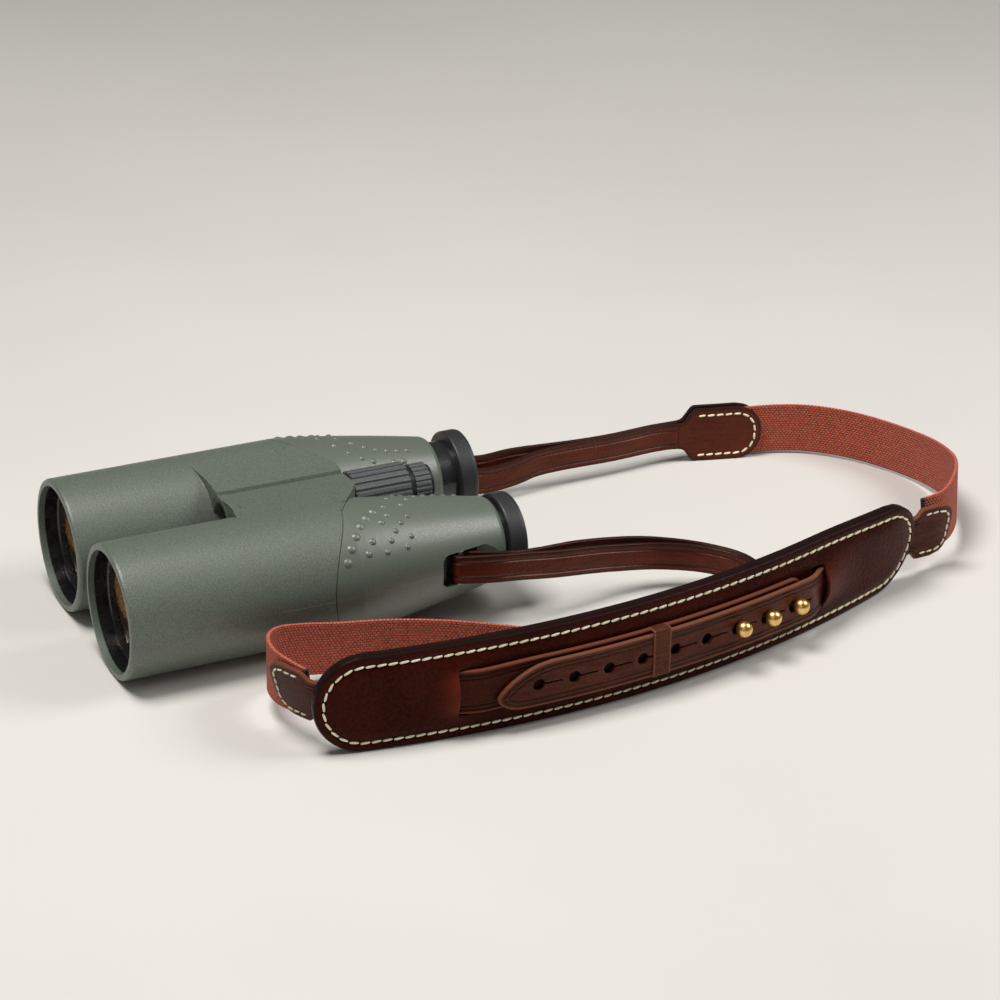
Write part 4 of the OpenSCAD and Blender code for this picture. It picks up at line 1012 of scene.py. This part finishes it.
# Rubber nose in front of the hinge: a rounded collar, and beside it the front of each wing. Places are
# millimetres from the hinge, x towards the wing's own barrel
HINGE_Z, WING_BACK, NOSE_Y, BED = 48.5, -31.95, -36.3, 0.3
TOP_Z, TOP_SLOPE, TOP_OFF = 11.43, 0.1138, 1.3
BARREL_X, BARREL_DROP, BARREL_R = 36.35, 16.5, 32.0
LEFT_BACK = [(0, WING_BACK), (16, WING_BACK), (19, -32.75), (23, -34.35), (28, -36.95), (33, -38.95)]
RIGHT_BACK = [(0, WING_BACK), (30, WING_BACK)]
NOSE_FRONT = [(0, NOSE_Y), (12, NOSE_Y), (16, -36.5), (20, -37.1), (25, -38.1), (30, -39.3)]
LEFT_TOP, RIGHT_TOP = [2.4, 6, 10, 14, 16, 19, 23, 28, 30], [5.03, 8, 10, 12.2]
SHARP = math.radians(40)


# Reads a table of places and values, straight between its rows
def between(table, x):
    for (a, p), (b, q) in zip(table, table[1:]):
        if x <= b:
            return p + (q - p) * max(0.0, x - a) / (b - a)
    return table[-1][1]


def wing_top(x):
    return TOP_Z + TOP_SLOPE * (x + TOP_OFF)


def barrel_top(x):
    return math.sqrt(BARREL_R ** 2 - (BARREL_X - x) ** 2) - BARREL_DROP


# Front of a wing: hollowed to the collar up to an angle, flat-topped to the barrel, and bedded on the barrel
def wing_nose(name, body, side, hollow, top, xs, back):
    reach = math.hypot(BARREL_X, BARREL_DROP)
    meet = math.degrees(math.acos((reach ** 2 + hollow ** 2 - BARREL_R ** 2) / (2 * reach * hollow))
                        - math.atan2(BARREL_DROP, BARREL_X))
    section = arc(0, 0, hollow, meet, top, n=16) + [(x, wing_top(x)) for x in xs]
    bed = spread(hollow * math.cos(math.radians(meet)), xs[-1], pitch=2.0)
    section += [(x, barrel_top(x) - BED) for x in bed[:0:-1]]
    bm = bmesh.new()
    face = bm.faces.new([bm.verts.new((x, 0.0, z)) for x, z in section])
    made = bmesh.ops.extrude_face_region(bm, geom=[face])["geom"]
    fore = {v for v in made if isinstance(v, bmesh.types.BMVert)}
    for v in bm.verts:
        v.co.y = between(NOSE_FRONT if v in fore else back, v.co.x)
    lip = [e for e in bm.edges if all(v in fore and abs(v.co.z - wing_top(v.co.x)) < 0.01 for v in e.verts)]
    round_edges(bm, lip, offset=0.5, segments=3)
    to_hinge = Matrix.Translation((0, 0, HINGE_Z * MM)) @ Matrix.Diagonal((side * MM, MM, MM, 1.0))
    bmesh.ops.transform(bm, matrix=to_hinge, verts=bm.verts[:])
    faces_out(bm)
    o = piece(name, bm, front_armour, body)
    o.data.set_sharp_from_angle(angle=SHARP)


wing_nose("left_wing_nose", "left_barrel", side=1.0, hollow=12.05, top=79.0, xs=LEFT_TOP, back=LEFT_BACK)
wing_nose("right_wing_nose", "right_barrel", side=-1.0, hollow=11.3, top=67.5, xs=RIGHT_TOP, back=RIGHT_BACK)

# Collar, spun from its section of radius and place along the hinge
bm = bmesh.new()
start, sweep = math.radians(24), math.radians(148)
profile = [(8.05, -32.0), (11.7, -32.0), (11.7, -34.8), (11.5, -35.7), (10.9, NOSE_Y), (8.9, NOSE_Y), (8.3, -36.1),
           (8.05, -35.5)]
face = bm.faces.new([bm.verts.new((r * math.cos(start) * MM, y * MM, (HINGE_Z + r * math.sin(start)) * MM))
                     for r, y in profile])
bmesh.ops.spin(bm, geom=[face, *face.edges, *face.verts], cent=(0, 0, HINGE_Z * MM), axis=(0, -1, 0), dvec=(0, 0, 0),
               angle=sweep, steps=36, use_merge=False, use_duplicate=False)
faces_out(bm)
collar = piece("hinge_collar_nose", bm, front_armour, "right_barrel")
collar.data.set_sharp_from_angle(angle=SHARP)
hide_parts("hinge_collar")

# Skin over the groove that the collar's room leaves along the left barrel, cut by angle round the barrel and then
# bent, which turns its faces inside out
SKIN_TURN, SKIN_Y, SKIN_THICK, SKIN_MID = (140.6, 170.6), (-60.2 * MM, -36.75 * MM), 1.5 * MM, (BARREL_R - 0.77) * MM
bm = cut([math.radians(a) for a in spread(*SKIN_TURN, pitch=1.5)], spread(*SKIN_Y, pitch=4.0 * MM))
thicken(bm, SKIN_THICK, soften=0.0)
for v in bm.verts:
    a, r = v.co.x, SKIN_MID + v.co.z
    v.co = Vector((BARREL_X * MM + r * math.cos(a), v.co.y, (HINGE_Z - BARREL_DROP) * MM + r * math.sin(a)))
bmesh.ops.reverse_faces(bm, faces=bm.faces[:])
skin = piece("left_armour_skin", bm, front_armour, "left_barrel")
skin.data.set_sharp_from_angle(angle=SHARP)

# Finishes of the pieces that keep their shape
finishes = {
    "front_armour": front_armour, "rear_armour": rear_armour, "housing": dark_housing,
    "objective_cell": ribbed_black, "retaining_ring": black_metal,
    "objective_lens": front_glass, "focus_carriage": dark_bore, "focus_lens": front_glass, "prism_holder": dark_bore,
    "prisms": eye_glass, "eyepiece_tube": dark_bore, "eyepiece_lenses": eye_glass, "eyecup_guide": black_metal,
    "eyecup_sleeve": black_metal, "eyecup_rubber": black_rubber, "strap_bar": steel, "hinge_axle": steel,
    "tripod_bush": brass, "focus_shaft": steel, "focus_wheel": black_metal, "focus_grip": grip_rubber,
    "dioptre_ring": grip_rubber, "dioptre_cap": black_metal, "studs": brass,
}
for name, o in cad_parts.items():
    found = next((m for key, m in finishes.items() if name.endswith(key)), None)
    if found:
        if not o.material_slots:
            o.data.materials.append(found)
        for s in o.material_slots:
            s.material = found

# Floor and light
FLOOR_HALF = 6.0
bm = bmesh.new()
bmesh.ops.create_grid(bm, x_segments=2, y_segments=2, size=FLOOR_HALF)
floor_mat, tree, shader, place = finish_of("floor", rough=0.75)
g = use(tree, grain, Place=place, Cells=60.0, Cloud=3.0)
wire(tree, blend_colour(tree, g["Tone"], (0.63, 0.61, 0.58), (0.66, 0.64, 0.61)), shader.inputs["Base Color"])
floor = piece("floor", bm, floor_mat)

world = bpy.data.worlds.new("studio")
scene.world = world
world.use_nodes = True
sky = world.node_tree.nodes["Background"].inputs
sky["Color"].default_value, sky["Strength"].default_value = (1.0, 0.98, 0.95, 1.0), 0.09


def lamp(name, place, aim, size, power, colour):
    data = bpy.data.lights.new(name, "AREA")
    data.shape, data.size, data.energy, data.color = "DISK", size, power, colour
    o = bpy.data.objects.new(name, data)
    scene.collection.objects.link(o)
    turn = (Vector(place) - Vector(aim)).to_track_quat("Z", "Y").to_matrix().to_4x4()
    o.matrix_world = Matrix.Translation(place) @ turn


lamp("key", (0.05, -0.35, 1.55), aim=(0.0, 0.08, 0.02), size=0.7, power=25.0, colour=(1.0, 0.98, 0.95))
lamp("fill", (1.10, -0.70, 0.80), aim=(0.0, 0.1, 0.02), size=1.2, power=1.6, colour=(1.0, 0.98, 0.96))
lamp("side", (0.45, 1.15, 1.05), aim=(0.0, 0.1, 0.02), size=0.8, power=11.5, colour=(1.0, 0.99, 0.97))
